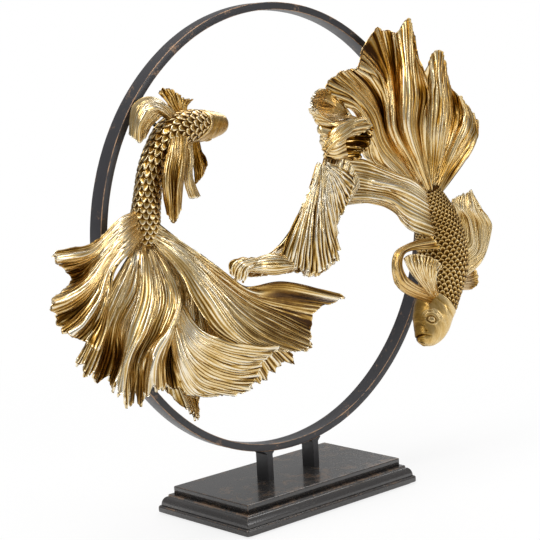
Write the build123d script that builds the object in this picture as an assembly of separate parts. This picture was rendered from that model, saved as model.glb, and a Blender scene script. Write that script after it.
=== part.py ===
from build123d import *
import math
import os

# Two gold fish with veil tails on a standing steel ring, over a stepped black plinth.
# The origin is the centre of the plinth's underside. +Z is up, the ring lies in the XZ
# plane and the fish ride on the ring's front, towards -Y. All lengths are millimetres.

# Plinth
FELT_THICKNESS = 1.5
BOTTOM_BOARD_THICKNESS = 8.0
MOULDING_HEIGHT = 13.5
TOP_BOARD_THICKNESS = 10.0
TOP_BOARD_LENGTH = 258.0
TOP_BOARD_WIDTH = 134.0
LEDGE_PROJECTION = 5.2
OVOLO_PROJECTION = 6.4
BOTTOM_BOARD_PROJECTION = 3.2
LEDGE_HEIGHT = 2.5
BOARD_EDGE_ROUNDING = 2.5
TOP_EDGE_ROUNDING = 0.8
FELT_INSET = 4.0
FELT_CORNER_RADIUS = 6.0

# Ring and posts
RING_OUTER_RADIUS = 270.0
RING_BAR_THICKNESS = 9.0
RING_BAR_DEPTH = 21.0
RING_EDGE_ROUNDING = 0.8
RING_CLEAR_HEIGHT = 33.2
POST_WIDTH = 8.5
POST_DEPTH = 21.0
POST_SPACING = 77.5
WELD_LEG = 4.0

# Fasteners under the posts
SCREW_RADIUS = 2.5
SCREW_HEAD_RADIUS = 4.25
SCREW_HEAD_HEIGHT = 4.0
SCREW_ENGAGEMENT = 18.0
WASHER_RADIUS = 6.0
WASHER_THICKNESS = 1.0
COUNTERBORE_RADIUS = 7.0
COUNTERBORE_DEPTH = 5.5
SCREW_CLEARANCE = 0.25

# Fish
TAIL_THICKNESS = 4.0
FIN_THICKNESS = 3.0
PIN_RADIUS = 2.5
PIN_CLEARANCE = 0.1
LEFT_BODY_PIN_SETBACK = 7.0
LEFT_BODY_PIN_LENGTH = 50.0
RIGHT_BODY_PIN_LENGTH = 30.0
TAIL_PIN_REACH = 70.0
BEAD_PROJECTION = 1.1
BEAD_HEIGHT = 2.0

# Facets round each fish body, and how far a curve swells past the middle of two points
BODY_SIDES = 18
MIDDLE_SWELL_SHARE = 0.125

# One overrun serves every cut that has to pass through a face
OVERRUN = 2.0

# Derived heights and places
BOTTOM_BOARD_TOP = FELT_THICKNESS + BOTTOM_BOARD_THICKNESS
MOULDING_TOP = BOTTOM_BOARD_TOP + MOULDING_HEIGHT
PLINTH_TOP = MOULDING_TOP + TOP_BOARD_THICKNESS
RING_INNER_RADIUS = RING_OUTER_RADIUS - RING_BAR_THICKNESS
RING_MIDDLE_RADIUS = RING_OUTER_RADIUS - RING_BAR_THICKNESS / 2
RING_CENTRE_HEIGHT = PLINTH_TOP + RING_CLEAR_HEIGHT + RING_OUTER_RADIUS
RING_FRONT = -RING_BAR_DEPTH / 2
POST_PLACES = (-POST_SPACING / 2, POST_SPACING / 2)

# The fish are sculpted freely about the ring, so their nets are shares of the ring's
# outer radius, measured from the ring's centre. Each row is one fin ray from its root to
# its tip, as (right, back, up).
LEFT_OUTER_LOBE_SHARES = [
    [(-0.83, -0.095, 0.18), (-0.945, -0.11, 0.155), (-1.025, -0.11, 0.1), (-1.11, -0.12, 0.07),
     (-1.21, -0.135, 0.065), (-1.3, -0.14, 0.065)],
    [(-0.835, -0.1, 0.165), (-0.96, -0.135, 0.13), (-1.045, -0.135, 0.075), (-1.135, -0.155, 0.035),
     (-1.225, -0.165, 0.03), (-1.32, -0.155, 0.03)],
    [(-0.83, -0.1, 0.145), (-0.965, -0.15, 0.105), (-1.055, -0.155, 0.045), (-1.115, -0.135, -0.005),
     (-1.15, -0.105, -0.05), (-1.195, -0.08, -0.07)],
    [(-0.83, -0.105, 0.125), (-0.975, -0.17, 0.085), (-1.075, -0.185, 0.02), (-1.175, -0.205, -0.06),
     (-1.275, -0.205, -0.105), (-1.38, -0.2, -0.12)],
    [(-0.83, -0.105, 0.11), (-0.98, -0.185, 0.065), (-1.08, -0.195, -0.01), (-1.165, -0.2, -0.105),
     (-1.245, -0.18, -0.175), (-1.335, -0.165, -0.215)],
    [(-0.83, -0.105, 0.095), (-0.985, -0.195, 0.045), (-1.095, -0.22, -0.02), (-1.18, -0.245, -0.135),
     (-1.25, -0.24, -0.21), (-1.325, -0.23, -0.255)],
    [(-0.83, -0.11, 0.08), (-0.995, -0.205, 0.035), (-1.095, -0.235, -0.03), (-1.15, -0.25, -0.135),
     (-1.2, -0.235, -0.23), (-1.255, -0.215, -0.295)],
    [(-0.83, -0.11, 0.07), (-1.005, -0.215, 0.02), (-1.105, -0.25, -0.035), (-1.145, -0.28, -0.12),
     (-1.18, -0.295, -0.215), (-1.235, -0.295, -0.33)],
]
LEFT_VEIL_SHARES = [
    [(-0.87, -0.08, 0.06), (-0.915, -0.135, 0.025), (-0.99, -0.155, -0.035), (-1.1, -0.17, -0.15),
     (-1.195, -0.18, -0.285), (-1.28, -0.18, -0.385)],
    [(-0.86, -0.08, 0.06), (-0.915, -0.14, 0.005), (-0.98, -0.165, -0.09), (-1.075, -0.17, -0.225),
     (-1.145, -0.17, -0.345), (-1.22, -0.17, -0.455)],
    [(-0.85, -0.085, 0.06), (-0.91, -0.155, -0.02), (-0.975, -0.185, -0.125), (-1.045, -0.165, -0.25),
     (-1.065, -0.15, -0.375), (-1.11, -0.135, -0.505)],
    [(-0.84, -0.085, 0.06), (-0.91, -0.165, -0.03), (-0.965, -0.205, -0.145), (-1.045, -0.195, -0.27),
     (-1.03, -0.17, -0.385), (-1.095, -0.165, -0.525)],
    [(-0.835, -0.085, 0.06), (-0.905, -0.18, -0.04), (-0.96, -0.22, -0.155), (-1.04, -0.245, -0.275),
     (-1.085, -0.25, -0.385), (-1.14, -0.245, -0.52)],
    [(-0.825, -0.09, 0.06), (-0.875, -0.185, -0.06), (-0.915, -0.235, -0.17), (-0.99, -0.26, -0.28),
     (-1.075, -0.265, -0.395), (-1.115, -0.26, -0.57)],
    [(-0.815, -0.09, 0.06), (-0.835, -0.18, -0.075), (-0.855, -0.215, -0.19), (-0.915, -0.22, -0.3),
     (-0.985, -0.205, -0.415), (-1.01, -0.18, -0.62)],
    [(-0.805, -0.09, 0.06), (-0.805, -0.185, -0.075), (-0.81, -0.23, -0.19), (-0.88, -0.245, -0.3),
     (-0.965, -0.245, -0.405), (-0.99, -0.23, -0.6)],
    [(-0.795, -0.095, 0.06), (-0.785, -0.195, -0.07), (-0.785, -0.25, -0.19), (-0.865, -0.28, -0.295),
     (-0.955, -0.29, -0.405), (-0.965, -0.275, -0.555)],
    [(-0.785, -0.095, 0.06), (-0.755, -0.185, -0.07), (-0.74, -0.22, -0.195), (-0.785, -0.22, -0.315),
     (-0.81, -0.2, -0.445), (-0.78, -0.18, -0.585)],
    [(-0.775, -0.1, 0.06), (-0.73, -0.18, -0.06), (-0.72, -0.22, -0.185), (-0.765, -0.245, -0.315),
     (-0.77, -0.245, -0.455), (-0.715, -0.22, -0.615)],
    [(-0.77, -0.1, 0.06), (-0.72, -0.185, -0.05), (-0.7, -0.235, -0.17), (-0.72, -0.265, -0.315),
     (-0.7, -0.275, -0.46), (-0.615, -0.26, -0.62)],
    [(-0.76, -0.1, 0.06), (-0.705, -0.185, -0.04), (-0.65, -0.23, -0.165), (-0.62, -0.245, -0.31),
     (-0.54, -0.235, -0.465), (-0.415, -0.215, -0.655)],
    [(-0.75, -0.105, 0.06), (-0.685, -0.18, -0.035), (-0.605, -0.215, -0.16), (-0.515, -0.22, -0.31),
     (-0.4, -0.215, -0.45), (-0.255, -0.185, -0.63)],
    [(-0.74, -0.105, 0.06), (-0.67, -0.17, -0.03), (-0.56, -0.2, -0.16), (-0.42, -0.205, -0.305),
     (-0.255, -0.2, -0.43), (-0.05, -0.17, -0.58)],
]
LEFT_SWEEP_SHARES = [
    [(-0.81, -0.135, 0.065), (-0.745, -0.25, -0.04), (-0.685, -0.335, -0.18), (-0.615, -0.37, -0.305),
     (-0.51, -0.38, -0.4), (-0.32, -0.355, -0.47)],
    [(-0.805, -0.135, 0.075), (-0.725, -0.245, -0.025), (-0.635, -0.31, -0.155),
     (-0.52, -0.335, -0.28), (-0.35, -0.32, -0.39), (-0.09, -0.29, -0.51)],
    [(-0.8, -0.135, 0.085), (-0.705, -0.23, -0.005), (-0.585, -0.275, -0.135), (-0.41, -0.265, -0.255),
     (-0.2, -0.23, -0.355), (0, -0.2, -0.455)],
    [(-0.8, -0.135, 0.1), (-0.705, -0.22, 0.005), (-0.58, -0.265, -0.11), (-0.4, -0.275, -0.23),
     (-0.185, -0.245, -0.305), (0.03, -0.215, -0.36)],
    [(-0.795, -0.135, 0.11), (-0.71, -0.215, 0.02), (-0.595, -0.275, -0.085), (-0.445, -0.305, -0.2),
     (-0.22, -0.305, -0.25), (0.13, -0.32, -0.335)],
    [(-0.795, -0.135, 0.115), (-0.705, -0.205, 0.025), (-0.595, -0.26, -0.075), (-0.45, -0.29, -0.185),
     (-0.225, -0.295, -0.225), (0.12, -0.25, -0.32)],
    [(-0.795, -0.135, 0.125), (-0.71, -0.2, 0.03), (-0.6, -0.25, -0.065), (-0.475, -0.295, -0.175),
     (-0.25, -0.31, -0.185), (0.15, -0.295, -0.305)],
]
LEFT_BACK_LOBE_SHARES = [
    [(-0.79, -0.075, 0.08), (-0.73, 0, -0.09), (-0.715, 0.005, -0.245), (-0.705, 0.005, -0.375),
     (-0.705, 0, -0.48), (-0.71, 0, -0.575)],
    [(-0.78, -0.075, 0.08), (-0.69, 0.015, -0.1), (-0.655, 0.035, -0.255), (-0.66, 0.03, -0.405),
     (-0.67, 0.005, -0.525), (-0.665, -0.01, -0.655)],
    [(-0.775, -0.075, 0.075), (-0.66, 0.015, -0.1), (-0.625, 0.02, -0.255), (-0.64, 0.005, -0.405),
     (-0.645, -0.015, -0.54), (-0.62, -0.06, -0.71)],
    [(-0.77, -0.08, 0.08), (-0.625, 0.015, -0.105), (-0.56, 0.045, -0.27), (-0.545, 0.05, -0.425),
     (-0.55, 0.03, -0.56), (-0.575, -0.08, -0.77)],
    [(-0.765, -0.08, 0.085), (-0.6, 0.005, -0.1), (-0.52, 0.02, -0.25), (-0.495, 0.015, -0.405),
     (-0.495, -0.005, -0.535), (-0.5, -0.02, -0.655)],
    [(-0.76, -0.08, 0.09), (-0.565, 0.005, -0.09), (-0.44, 0.03, -0.23), (-0.365, 0.035, -0.375),
     (-0.3, 0.03, -0.51), (-0.26, 0.015, -0.62)],
]
LEFT_DORSAL_SHARES = [
    [(-0.6, -0.075, 0.545), (-0.645, -0.08, 0.595), (-0.695, -0.08, 0.65)],
    [(-0.595, -0.075, 0.545), (-0.63, -0.075, 0.605), (-0.66, -0.07, 0.66)],
    [(-0.585, -0.075, 0.545), (-0.615, -0.08, 0.605), (-0.645, -0.075, 0.66)],
    [(-0.575, -0.075, 0.545), (-0.6, -0.075, 0.6), (-0.615, -0.07, 0.655)],
    [(-0.57, -0.075, 0.54), (-0.585, -0.08, 0.595), (-0.59, -0.07, 0.64)],
    [(-0.56, -0.075, 0.54), (-0.57, -0.075, 0.59), (-0.565, -0.065, 0.625)],
    [(-0.55, -0.075, 0.54), (-0.55, -0.07, 0.58), (-0.525, -0.06, 0.61)],
    [(-0.54, -0.075, 0.54), (-0.53, -0.065, 0.575), (-0.47, -0.045, 0.605)],
]
LEFT_HOOD_SHARES = [
    [(-0.585, -0.09, 0.53), (-0.71, -0.11, 0.61), (-0.77, -0.095, 0.625), (-0.815, -0.075, 0.6),
     (-0.83, -0.065, 0.545), (-0.835, -0.06, 0.48)],
    [(-0.59, -0.095, 0.52), (-0.72, -0.135, 0.6), (-0.795, -0.135, 0.61), (-0.83, -0.12, 0.585),
     (-0.845, -0.105, 0.535), (-0.85, -0.09, 0.47)],
    [(-0.6, -0.095, 0.51), (-0.745, -0.15, 0.59), (-0.81, -0.16, 0.595), (-0.84, -0.15, 0.565),
     (-0.855, -0.14, 0.525), (-0.85, -0.115, 0.46)],
    [(-0.6, -0.095, 0.5), (-0.75, -0.16, 0.575), (-0.81, -0.17, 0.575), (-0.84, -0.165, 0.545),
     (-0.855, -0.155, 0.51), (-0.845, -0.135, 0.445)],
    [(-0.605, -0.095, 0.49), (-0.73, -0.14, 0.56), (-0.775, -0.15, 0.555), (-0.805, -0.145, 0.53),
     (-0.825, -0.135, 0.495), (-0.82, -0.12, 0.455)],
    [(-0.61, -0.09, 0.48), (-0.7, -0.12, 0.545), (-0.73, -0.115, 0.535), (-0.755, -0.11, 0.515),
     (-0.775, -0.105, 0.485), (-0.785, -0.1, 0.465)],
]
LEFT_PECTORAL_SHARES = [
    [(-0.665, -0.13, 0.49), (-0.74, -0.185, 0.41), (-0.785, -0.2, 0.325), (-0.79, -0.195, 0.245),
     (-0.75, -0.17, 0.15)],
    [(-0.65, -0.13, 0.49), (-0.735, -0.2, 0.41), (-0.78, -0.22, 0.325), (-0.785, -0.22, 0.245),
     (-0.755, -0.195, 0.125)],
    [(-0.635, -0.13, 0.495), (-0.7, -0.195, 0.41), (-0.73, -0.2, 0.32), (-0.735, -0.195, 0.235),
     (-0.73, -0.18, 0.11)],
    [(-0.615, -0.13, 0.495), (-0.68, -0.2, 0.405), (-0.715, -0.22, 0.32), (-0.735, -0.22, 0.24),
     (-0.725, -0.195, 0.13)],
    [(-0.6, -0.13, 0.49), (-0.645, -0.185, 0.405), (-0.665, -0.195, 0.325), (-0.68, -0.185, 0.245),
     (-0.685, -0.17, 0.16)],
]
LEFT_FAR_PECTORAL_SHARES = [
    [(-0.56, -0.08, 0.48), (-0.575, -0.105, 0.375), (-0.595, -0.105, 0.315), (-0.6, -0.105, 0.265),
     (-0.57, -0.09, 0.195)],
    [(-0.54, -0.075, 0.475), (-0.575, -0.12, 0.365), (-0.59, -0.125, 0.31), (-0.585, -0.125, 0.255),
     (-0.55, -0.11, 0.19)],
    [(-0.525, -0.07, 0.47), (-0.54, -0.095, 0.355), (-0.55, -0.095, 0.29), (-0.525, -0.09, 0.235),
     (-0.495, -0.075, 0.195)],
]
LEFT_PELVIC_SHARES = [
    [(-0.475, -0.02, 0.455), (-0.47, -0.015, 0.345), (-0.47, -0.015, 0.285), (-0.46, -0.005, 0.235)],
    [(-0.465, -0.02, 0.455), (-0.455, -0.03, 0.355), (-0.455, -0.045, 0.305), (-0.455, -0.045, 0.27)],
    [(-0.455, -0.02, 0.455), (-0.43, -0.015, 0.37), (-0.405, -0.015, 0.33), (-0.405, -0.005, 0.29)],
    [(-0.44, -0.02, 0.455), (-0.43, -0.02, 0.385), (-0.415, -0.03, 0.355), (-0.405, -0.03, 0.32)],
]
RIGHT_FRONT_FAN_SHARES = [
    [(0.8, -0.165, 0.07), (0.615, -0.2, 0.205), (0.48, -0.215, 0.325), (0.39, -0.235, 0.455),
     (0.255, -0.26, 0.545), (0.09, -0.265, 0.625)],
    [(0.805, -0.17, 0.07), (0.655, -0.185, 0.215), (0.53, -0.185, 0.35), (0.455, -0.2, 0.485),
     (0.33, -0.22, 0.585), (0.195, -0.23, 0.675)],
    [(0.81, -0.175, 0.07), (0.69, -0.165, 0.23), (0.61, -0.135, 0.365), (0.57, -0.125, 0.51),
     (0.46, -0.155, 0.615), (0.315, -0.195, 0.695)],
    [(0.815, -0.175, 0.07), (0.69, -0.18, 0.235), (0.58, -0.18, 0.385), (0.565, -0.17, 0.54),
     (0.49, -0.18, 0.64), (0.36, -0.2, 0.705)],
    [(0.82, -0.18, 0.07), (0.695, -0.185, 0.24), (0.59, -0.185, 0.39), (0.585, -0.17, 0.545),
     (0.59, -0.14, 0.665), (0.47, -0.135, 0.8)],
    [(0.825, -0.185, 0.07), (0.695, -0.195, 0.245), (0.585, -0.2, 0.4), (0.6, -0.18, 0.555),
     (0.635, -0.125, 0.69), (0.585, -0.105, 0.875)],
    [(0.83, -0.185, 0.07), (0.725, -0.185, 0.25), (0.655, -0.165, 0.405), (0.68, -0.135, 0.56),
     (0.695, -0.11, 0.71), (0.665, -0.11, 0.865)],
    [(0.835, -0.19, 0.07), (0.735, -0.195, 0.25), (0.655, -0.2, 0.405), (0.66, -0.195, 0.56),
     (0.695, -0.165, 0.715), (0.705, -0.14, 0.855)],
    [(0.835, -0.195, 0.07), (0.75, -0.2, 0.25), (0.68, -0.215, 0.405), (0.695, -0.215, 0.555),
     (0.71, -0.195, 0.725), (0.755, -0.155, 0.915)],
    [(0.84, -0.195, 0.07), (0.795, -0.185, 0.245), (0.77, -0.185, 0.405), (0.79, -0.195, 0.545),
     (0.77, -0.195, 0.675), (0.775, -0.17, 0.86)],
    [(0.845, -0.2, 0.07), (0.815, -0.195, 0.24), (0.79, -0.215, 0.405), (0.8, -0.235, 0.535),
     (0.78, -0.235, 0.61), (0.76, -0.215, 0.695)],
]
RIGHT_BACK_FAN_SHARES = [
    [(0.855, -0.15, 0.055), (0.87, -0.14, 0.22), (0.875, -0.135, 0.39), (0.885, -0.135, 0.53),
     (0.88, -0.14, 0.605), (0.865, -0.15, 0.655)],
    [(0.86, -0.155, 0.055), (0.895, -0.15, 0.23), (0.9, -0.165, 0.385), (0.92, -0.17, 0.525),
     (0.92, -0.17, 0.645), (0.925, -0.165, 0.755)],
    [(0.865, -0.16, 0.055), (0.93, -0.15, 0.215), (0.955, -0.165, 0.365), (0.98, -0.165, 0.495),
     (0.98, -0.155, 0.62), (1.015, -0.14, 0.74)],
    [(0.875, -0.165, 0.055), (0.975, -0.14, 0.205), (1.045, -0.14, 0.33), (1.105, -0.125, 0.425),
     (1.12, -0.11, 0.505), (1.095, -0.105, 0.59)],
    [(0.88, -0.17, 0.055), (0.995, -0.15, 0.185), (1.06, -0.17, 0.3), (1.11, -0.18, 0.38),
     (1.14, -0.165, 0.44), (1.13, -0.15, 0.52)],
    [(0.885, -0.175, 0.055), (1.02, -0.14, 0.16), (1.125, -0.15, 0.255), (1.195, -0.15, 0.315),
     (1.245, -0.135, 0.36), (1.245, -0.12, 0.44)],
    [(0.895, -0.18, 0.055), (1.04, -0.14, 0.12), (1.135, -0.155, 0.205), (1.195, -0.165, 0.275),
     (1.25, -0.15, 0.33), (1.28, -0.125, 0.405)],
]
RIGHT_ARM_SHARES = [
    [(0.85, -0.185, 0.055), (0.685, -0.23, 0.155), (0.57, -0.23, 0.2), (0.445, -0.22, 0.25),
     (0.345, -0.22, 0.285), (0.2, -0.25, 0.305)],
    [(0.845, -0.19, 0.04), (0.67, -0.22, 0.13), (0.555, -0.215, 0.17), (0.445, -0.205, 0.21),
     (0.345, -0.21, 0.235), (0.17, -0.26, 0.265)],
    [(0.845, -0.195, 0.01), (0.635, -0.235, 0.105), (0.51, -0.245, 0.145), (0.405, -0.235, 0.17),
     (0.315, -0.23, 0.195), (0.135, -0.27, 0.22)],
    [(0.845, -0.195, -0.03), (0.635, -0.22, 0.06), (0.53, -0.215, 0.11), (0.425, -0.215, 0.135),
     (0.315, -0.22, 0.155), (0.115, -0.28, 0.175)],
    [(0.845, -0.2, -0.08), (0.635, -0.22, 0.005), (0.515, -0.23, 0.075), (0.41, -0.23, 0.105),
     (0.295, -0.235, 0.12), (0.085, -0.29, 0.135)],
    [(0.85, -0.2, -0.14), (0.655, -0.205, -0.07), (0.57, -0.2, 0.015), (0.46, -0.2, 0.065),
     (0.31, -0.22, 0.09), (0.07, -0.295, 0.095)],
]
RIGHT_SWEEP_SHARES = [
    [(0.1, -0.245, 0.35), (0.03, -0.275, 0.265), (-0.07, -0.295, 0.16), (-0.175, -0.305, 0.055),
     (-0.325, -0.305, -0.055), (-0.515, -0.275, -0.07)],
    [(0.14, -0.235, 0.335), (0.08, -0.25, 0.235), (-0.01, -0.26, 0.125), (-0.115, -0.265, 0.01),
     (-0.325, -0.32, -0.065), (-0.405, -0.245, -0.155)],
    [(0.17, -0.245, 0.315), (0.09, -0.275, 0.21), (-0.015, -0.295, 0.1), (-0.13, -0.31, -0.015),
     (-0.275, -0.325, -0.085), (-0.27, -0.235, -0.16)],
    [(0.205, -0.245, 0.295), (0.145, -0.26, 0.185), (0.045, -0.265, 0.075), (-0.045, -0.26, -0.045),
     (-0.085, -0.25, -0.125), (-0.09, -0.22, -0.18)],
    [(0.235, -0.25, 0.275), (0.15, -0.28, 0.165), (0.03, -0.305, 0.06), (-0.07, -0.32, -0.045),
     (-0.1, -0.31, -0.13), (-0.105, -0.29, -0.19)],
    [(0.255, -0.25, 0.245), (0.19, -0.265, 0.145), (0.085, -0.275, 0.045), (0.015, -0.265, -0.065),
     (0.005, -0.25, -0.145), (0.02, -0.23, -0.205)],
    [(0.28, -0.25, 0.205), (0.2, -0.275, 0.13), (0.08, -0.295, 0.035), (0.015, -0.31, -0.055),
     (0.015, -0.31, -0.125), (0.045, -0.295, -0.165)],
    [(0.29, -0.245, 0.165), (0.23, -0.25, 0.115), (0.14, -0.25, 0.06), (0.105, -0.26, -0.025),
     (0.105, -0.265, -0.095), (0.115, -0.265, -0.135)],
]
RIGHT_ROLL_SHARES = [
    [(0.195, -0.275, 0.305), (0.11, -0.295, 0.305), (0.075, -0.265, 0.315), (0.19, -0.205, 0.29),
     (0.3, -0.185, 0.275), (0.38, -0.18, 0.285)],
    [(0.145, -0.31, 0.365), (0.075, -0.32, 0.35), (0.065, -0.275, 0.35), (0.21, -0.195, 0.325),
     (0.335, -0.17, 0.315), (0.43, -0.17, 0.31)],
    [(0.14, -0.325, 0.405), (0.055, -0.335, 0.38), (0.05, -0.28, 0.375), (0.22, -0.185, 0.36),
     (0.35, -0.155, 0.345), (0.475, -0.155, 0.335)],
    [(0.15, -0.34, 0.43), (0.05, -0.345, 0.4), (0.035, -0.29, 0.4), (0.23, -0.18, 0.39),
     (0.38, -0.15, 0.37), (0.51, -0.15, 0.36)],
    [(0.195, -0.34, 0.45), (0.06, -0.345, 0.425), (0.03, -0.29, 0.43), (0.23, -0.18, 0.42),
     (0.39, -0.15, 0.405), (0.48, -0.155, 0.39)],
    [(0.255, -0.335, 0.465), (0.09, -0.34, 0.455), (0.02, -0.29, 0.46), (0.225, -0.185, 0.445),
     (0.38, -0.155, 0.43), (0.505, -0.155, 0.42)],
    [(0.265, -0.32, 0.47), (0.095, -0.325, 0.47), (-0.025, -0.29, 0.515), (0.165, -0.205, 0.48),
     (0.335, -0.18, 0.455), (0.435, -0.17, 0.445)],
]
RIGHT_CUP_SHARES = [
    [(0.24, -0.26, 0.49), (0.2, -0.26, 0.53), (0.155, -0.26, 0.57), (0.1, -0.265, 0.6),
     (0.04, -0.28, 0.605), (-0.015, -0.295, 0.595)],
    [(0.265, -0.245, 0.48), (0.23, -0.23, 0.515), (0.18, -0.22, 0.55), (0.12, -0.23, 0.58),
     (0.04, -0.26, 0.58), (-0.025, -0.295, 0.575)],
    [(0.28, -0.245, 0.475), (0.24, -0.22, 0.5), (0.19, -0.205, 0.53), (0.11, -0.22, 0.55),
     (0.035, -0.26, 0.56), (-0.04, -0.305, 0.555)],
    [(0.285, -0.26, 0.47), (0.225, -0.245, 0.49), (0.155, -0.235, 0.51), (0.08, -0.25, 0.525),
     (0.01, -0.28, 0.54), (-0.05, -0.32, 0.54)],
    [(0.27, -0.29, 0.465), (0.19, -0.29, 0.48), (0.11, -0.29, 0.49), (0.035, -0.305, 0.505),
     (-0.02, -0.32, 0.53), (-0.055, -0.335, 0.54)],
    [(0.265, -0.32, 0.465), (0.165, -0.335, 0.475), (0.075, -0.34, 0.47), (0.005, -0.35, 0.485),
     (-0.04, -0.35, 0.515), (-0.06, -0.35, 0.545)],
]
RIGHT_DORSAL_SHARES = [
    [(0.915, -0.185, -0.015), (0.965, -0.21, -0.02), (0.96, -0.22, 0.01), (0.95, -0.22, 0.03),
     (0.96, -0.22, 0.05)],
    [(0.93, -0.2, -0.085), (1, -0.22, -0.09), (0.985, -0.225, -0.025), (0.965, -0.225, 0.02),
     (0.985, -0.225, 0.055)],
    [(0.95, -0.205, -0.155), (1.03, -0.235, -0.15), (1.03, -0.23, -0.055), (0.99, -0.23, 0),
     (1.015, -0.22, 0.065)],
    [(0.96, -0.215, -0.225), (1.05, -0.25, -0.19), (1.045, -0.25, -0.075), (1.015, -0.24, -0.01),
     (1.03, -0.235, 0.07)],
    [(0.965, -0.215, -0.275), (1.065, -0.255, -0.215), (1.085, -0.25, -0.09), (1.045, -0.245, -0.01),
     (1.06, -0.23, 0.07)],
    [(0.955, -0.22, -0.31), (1.09, -0.265, -0.23), (1.115, -0.27, -0.105), (1.075, -0.26, -0.02),
     (1.06, -0.245, 0.08)],
    [(0.95, -0.22, -0.345), (1.11, -0.27, -0.235), (1.155, -0.27, -0.115), (1.12, -0.265, -0.04),
     (1.08, -0.235, 0.07)],
    [(0.935, -0.22, -0.365), (1.09, -0.265, -0.285), (1.16, -0.28, -0.145), (1.165, -0.275, -0.08),
     (1.09, -0.26, -0.005)],
]
RIGHT_FAR_PECTORAL_SHARES = [
    [(0.985, -0.195, -0.34), (1.23, -0.09, -0.355), (1.28, -0.08, -0.35)],
    [(0.985, -0.195, -0.36), (1.22, -0.095, -0.385), (1.275, -0.095, -0.38)],
    [(0.985, -0.195, -0.38), (1.225, -0.09, -0.415), (1.29, -0.08, -0.425)],
    [(0.975, -0.195, -0.4), (1.195, -0.095, -0.44), (1.235, -0.09, -0.44)],
]
RIGHT_CURLING_SHARES = [
    [(0.81, -0.2, -0.45), (0.5, -0.29, -0.335), (0.425, -0.305, -0.25), (0.45, -0.295, -0.155),
     (0.56, -0.28, -0.125), (0.735, -0.275, -0.11)],
    [(0.81, -0.21, -0.425), (0.51, -0.31, -0.315), (0.42, -0.335, -0.24), (0.44, -0.325, -0.165),
     (0.535, -0.31, -0.13), (0.74, -0.295, -0.13)],
    [(0.82, -0.2, -0.4), (0.57, -0.295, -0.305), (0.5, -0.31, -0.25), (0.49, -0.305, -0.19),
     (0.555, -0.295, -0.155), (0.775, -0.29, -0.17)],
]
RIGHT_PECTORAL_SHARES = [
    [(0.78, -0.22, -0.41), (0.565, -0.295, -0.265), (0.51, -0.295, -0.18)],
    [(0.79, -0.22, -0.415), (0.57, -0.31, -0.255), (0.53, -0.31, -0.165)],
    [(0.795, -0.22, -0.415), (0.6, -0.305, -0.255), (0.58, -0.305, -0.17)],
    [(0.805, -0.22, -0.415), (0.625, -0.31, -0.26), (0.615, -0.31, -0.175)],
    [(0.81, -0.22, -0.415), (0.655, -0.305, -0.265), (0.665, -0.305, -0.19)],
    [(0.82, -0.22, -0.42), (0.685, -0.305, -0.275), (0.705, -0.305, -0.205)],
    [(0.83, -0.22, -0.42), (0.715, -0.295, -0.29), (0.75, -0.295, -0.225)],
    [(0.835, -0.22, -0.42), (0.74, -0.285, -0.305), (0.795, -0.28, -0.26)],
]
# Each body row is a station from the nose to the tail: its place, its half height across
# the flank and its half thickness through the flank.
LEFT_BODY_SHARES = [
    (-0.315, -0.05, 0.49, 0.015, 0.015),
    (-0.34, -0.055, 0.49, 0.041, 0.044),
    (-0.395, -0.06, 0.49, 0.057, 0.063),
    (-0.465, -0.065, 0.49, 0.065, 0.078),
    (-0.55, -0.075, 0.49, 0.069, 0.085),
    (-0.635, -0.08, 0.47, 0.068, 0.089),
    (-0.71, -0.09, 0.41, 0.059, 0.085),
    (-0.765, -0.095, 0.325, 0.055, 0.078),
    (-0.795, -0.095, 0.21, 0.057, 0.07),
    (-0.81, -0.095, 0.125, 0.061, 0.059),
    (-0.805, -0.095, 0.03, 0.053, 0.045),
]
RIGHT_BODY_SHARES = [
    (0.735, -0.195, -0.64, 0.019, 0.015),
    (0.75, -0.195, -0.615, 0.052, 0.041),
    (0.795, -0.19, -0.56, 0.086, 0.067),
    (0.83, -0.185, -0.49, 0.098, 0.078),
    (0.88, -0.18, -0.4, 0.103, 0.085),
    (0.925, -0.18, -0.29, 0.113, 0.085),
    (0.915, -0.175, -0.175, 0.12, 0.081),
    (0.895, -0.17, -0.075, 0.11, 0.074),
    (0.855, -0.17, 0.025, 0.086, 0.062),
    (0.83, -0.17, 0.095, 0.062, 0.05),
]
# The flank of each fish that shows most faces the front left
FLANK_DIRECTION = Vector(-0.67, -0.73, 0.14)

# Where the pins leave the ring, as degrees round it from +X towards +Z
LEFT_BODY_PIN_ANGLE = 143.0
LEFT_TAIL_PIN_ANGLE = 195.0
RIGHT_BODY_PIN_ANGLES = (-9.0, -17.0)
RIGHT_FAN_PIN_ANGLE = 44.0


def from_ring(share):
    """Place in the object's frame of one (right, back, up) share."""
    right, back, up = share[:3]
    return Vector(
        right * RING_OUTER_RADIUS,
        back * RING_OUTER_RADIUS,
        RING_CENTRE_HEIGHT + up * RING_OUTER_RADIUS,
    )


def on_ring(angle, radius, depth):
    """Place on the ring at an angle in degrees, a radius and a depth along Y."""
    turn = math.radians(angle)
    return Vector(
        radius * math.cos(turn),
        depth,
        RING_CENTRE_HEIGHT + radius * math.sin(turn),
    )


def refined(points):
    """The points with one more between each two, on a smooth curve through them."""
    last = len(points) - 1
    finer = []
    for i in range(last):
        outer_middle = (points[max(i - 1, 0)] + points[min(i + 2, last)]) / 2
        middle = (points[i] + points[i + 1]) / 2
        finer.append(points[i])
        finer.append(middle + (middle - outer_middle) * MIDDLE_SWELL_SHARE)
    finer.append(points[last])
    return finer


def eased(net):
    """The net with its inner rays evened out at their roots, so that its folds open to the tips.

    The first point of a ray moves halfway to the middle of its two neighbours, and each
    point after it moves half as large a share of its own way.
    """
    inner = [
        [
            point + (before + after - point * 2) / 2 ** (k + 2)
            for k, (before, point, after) in enumerate(zip(*net[i - 1:i + 2]))
        ]
        for i in range(1, len(net) - 1)
    ]
    return [net[0], *inner, net[-1]]


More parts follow.
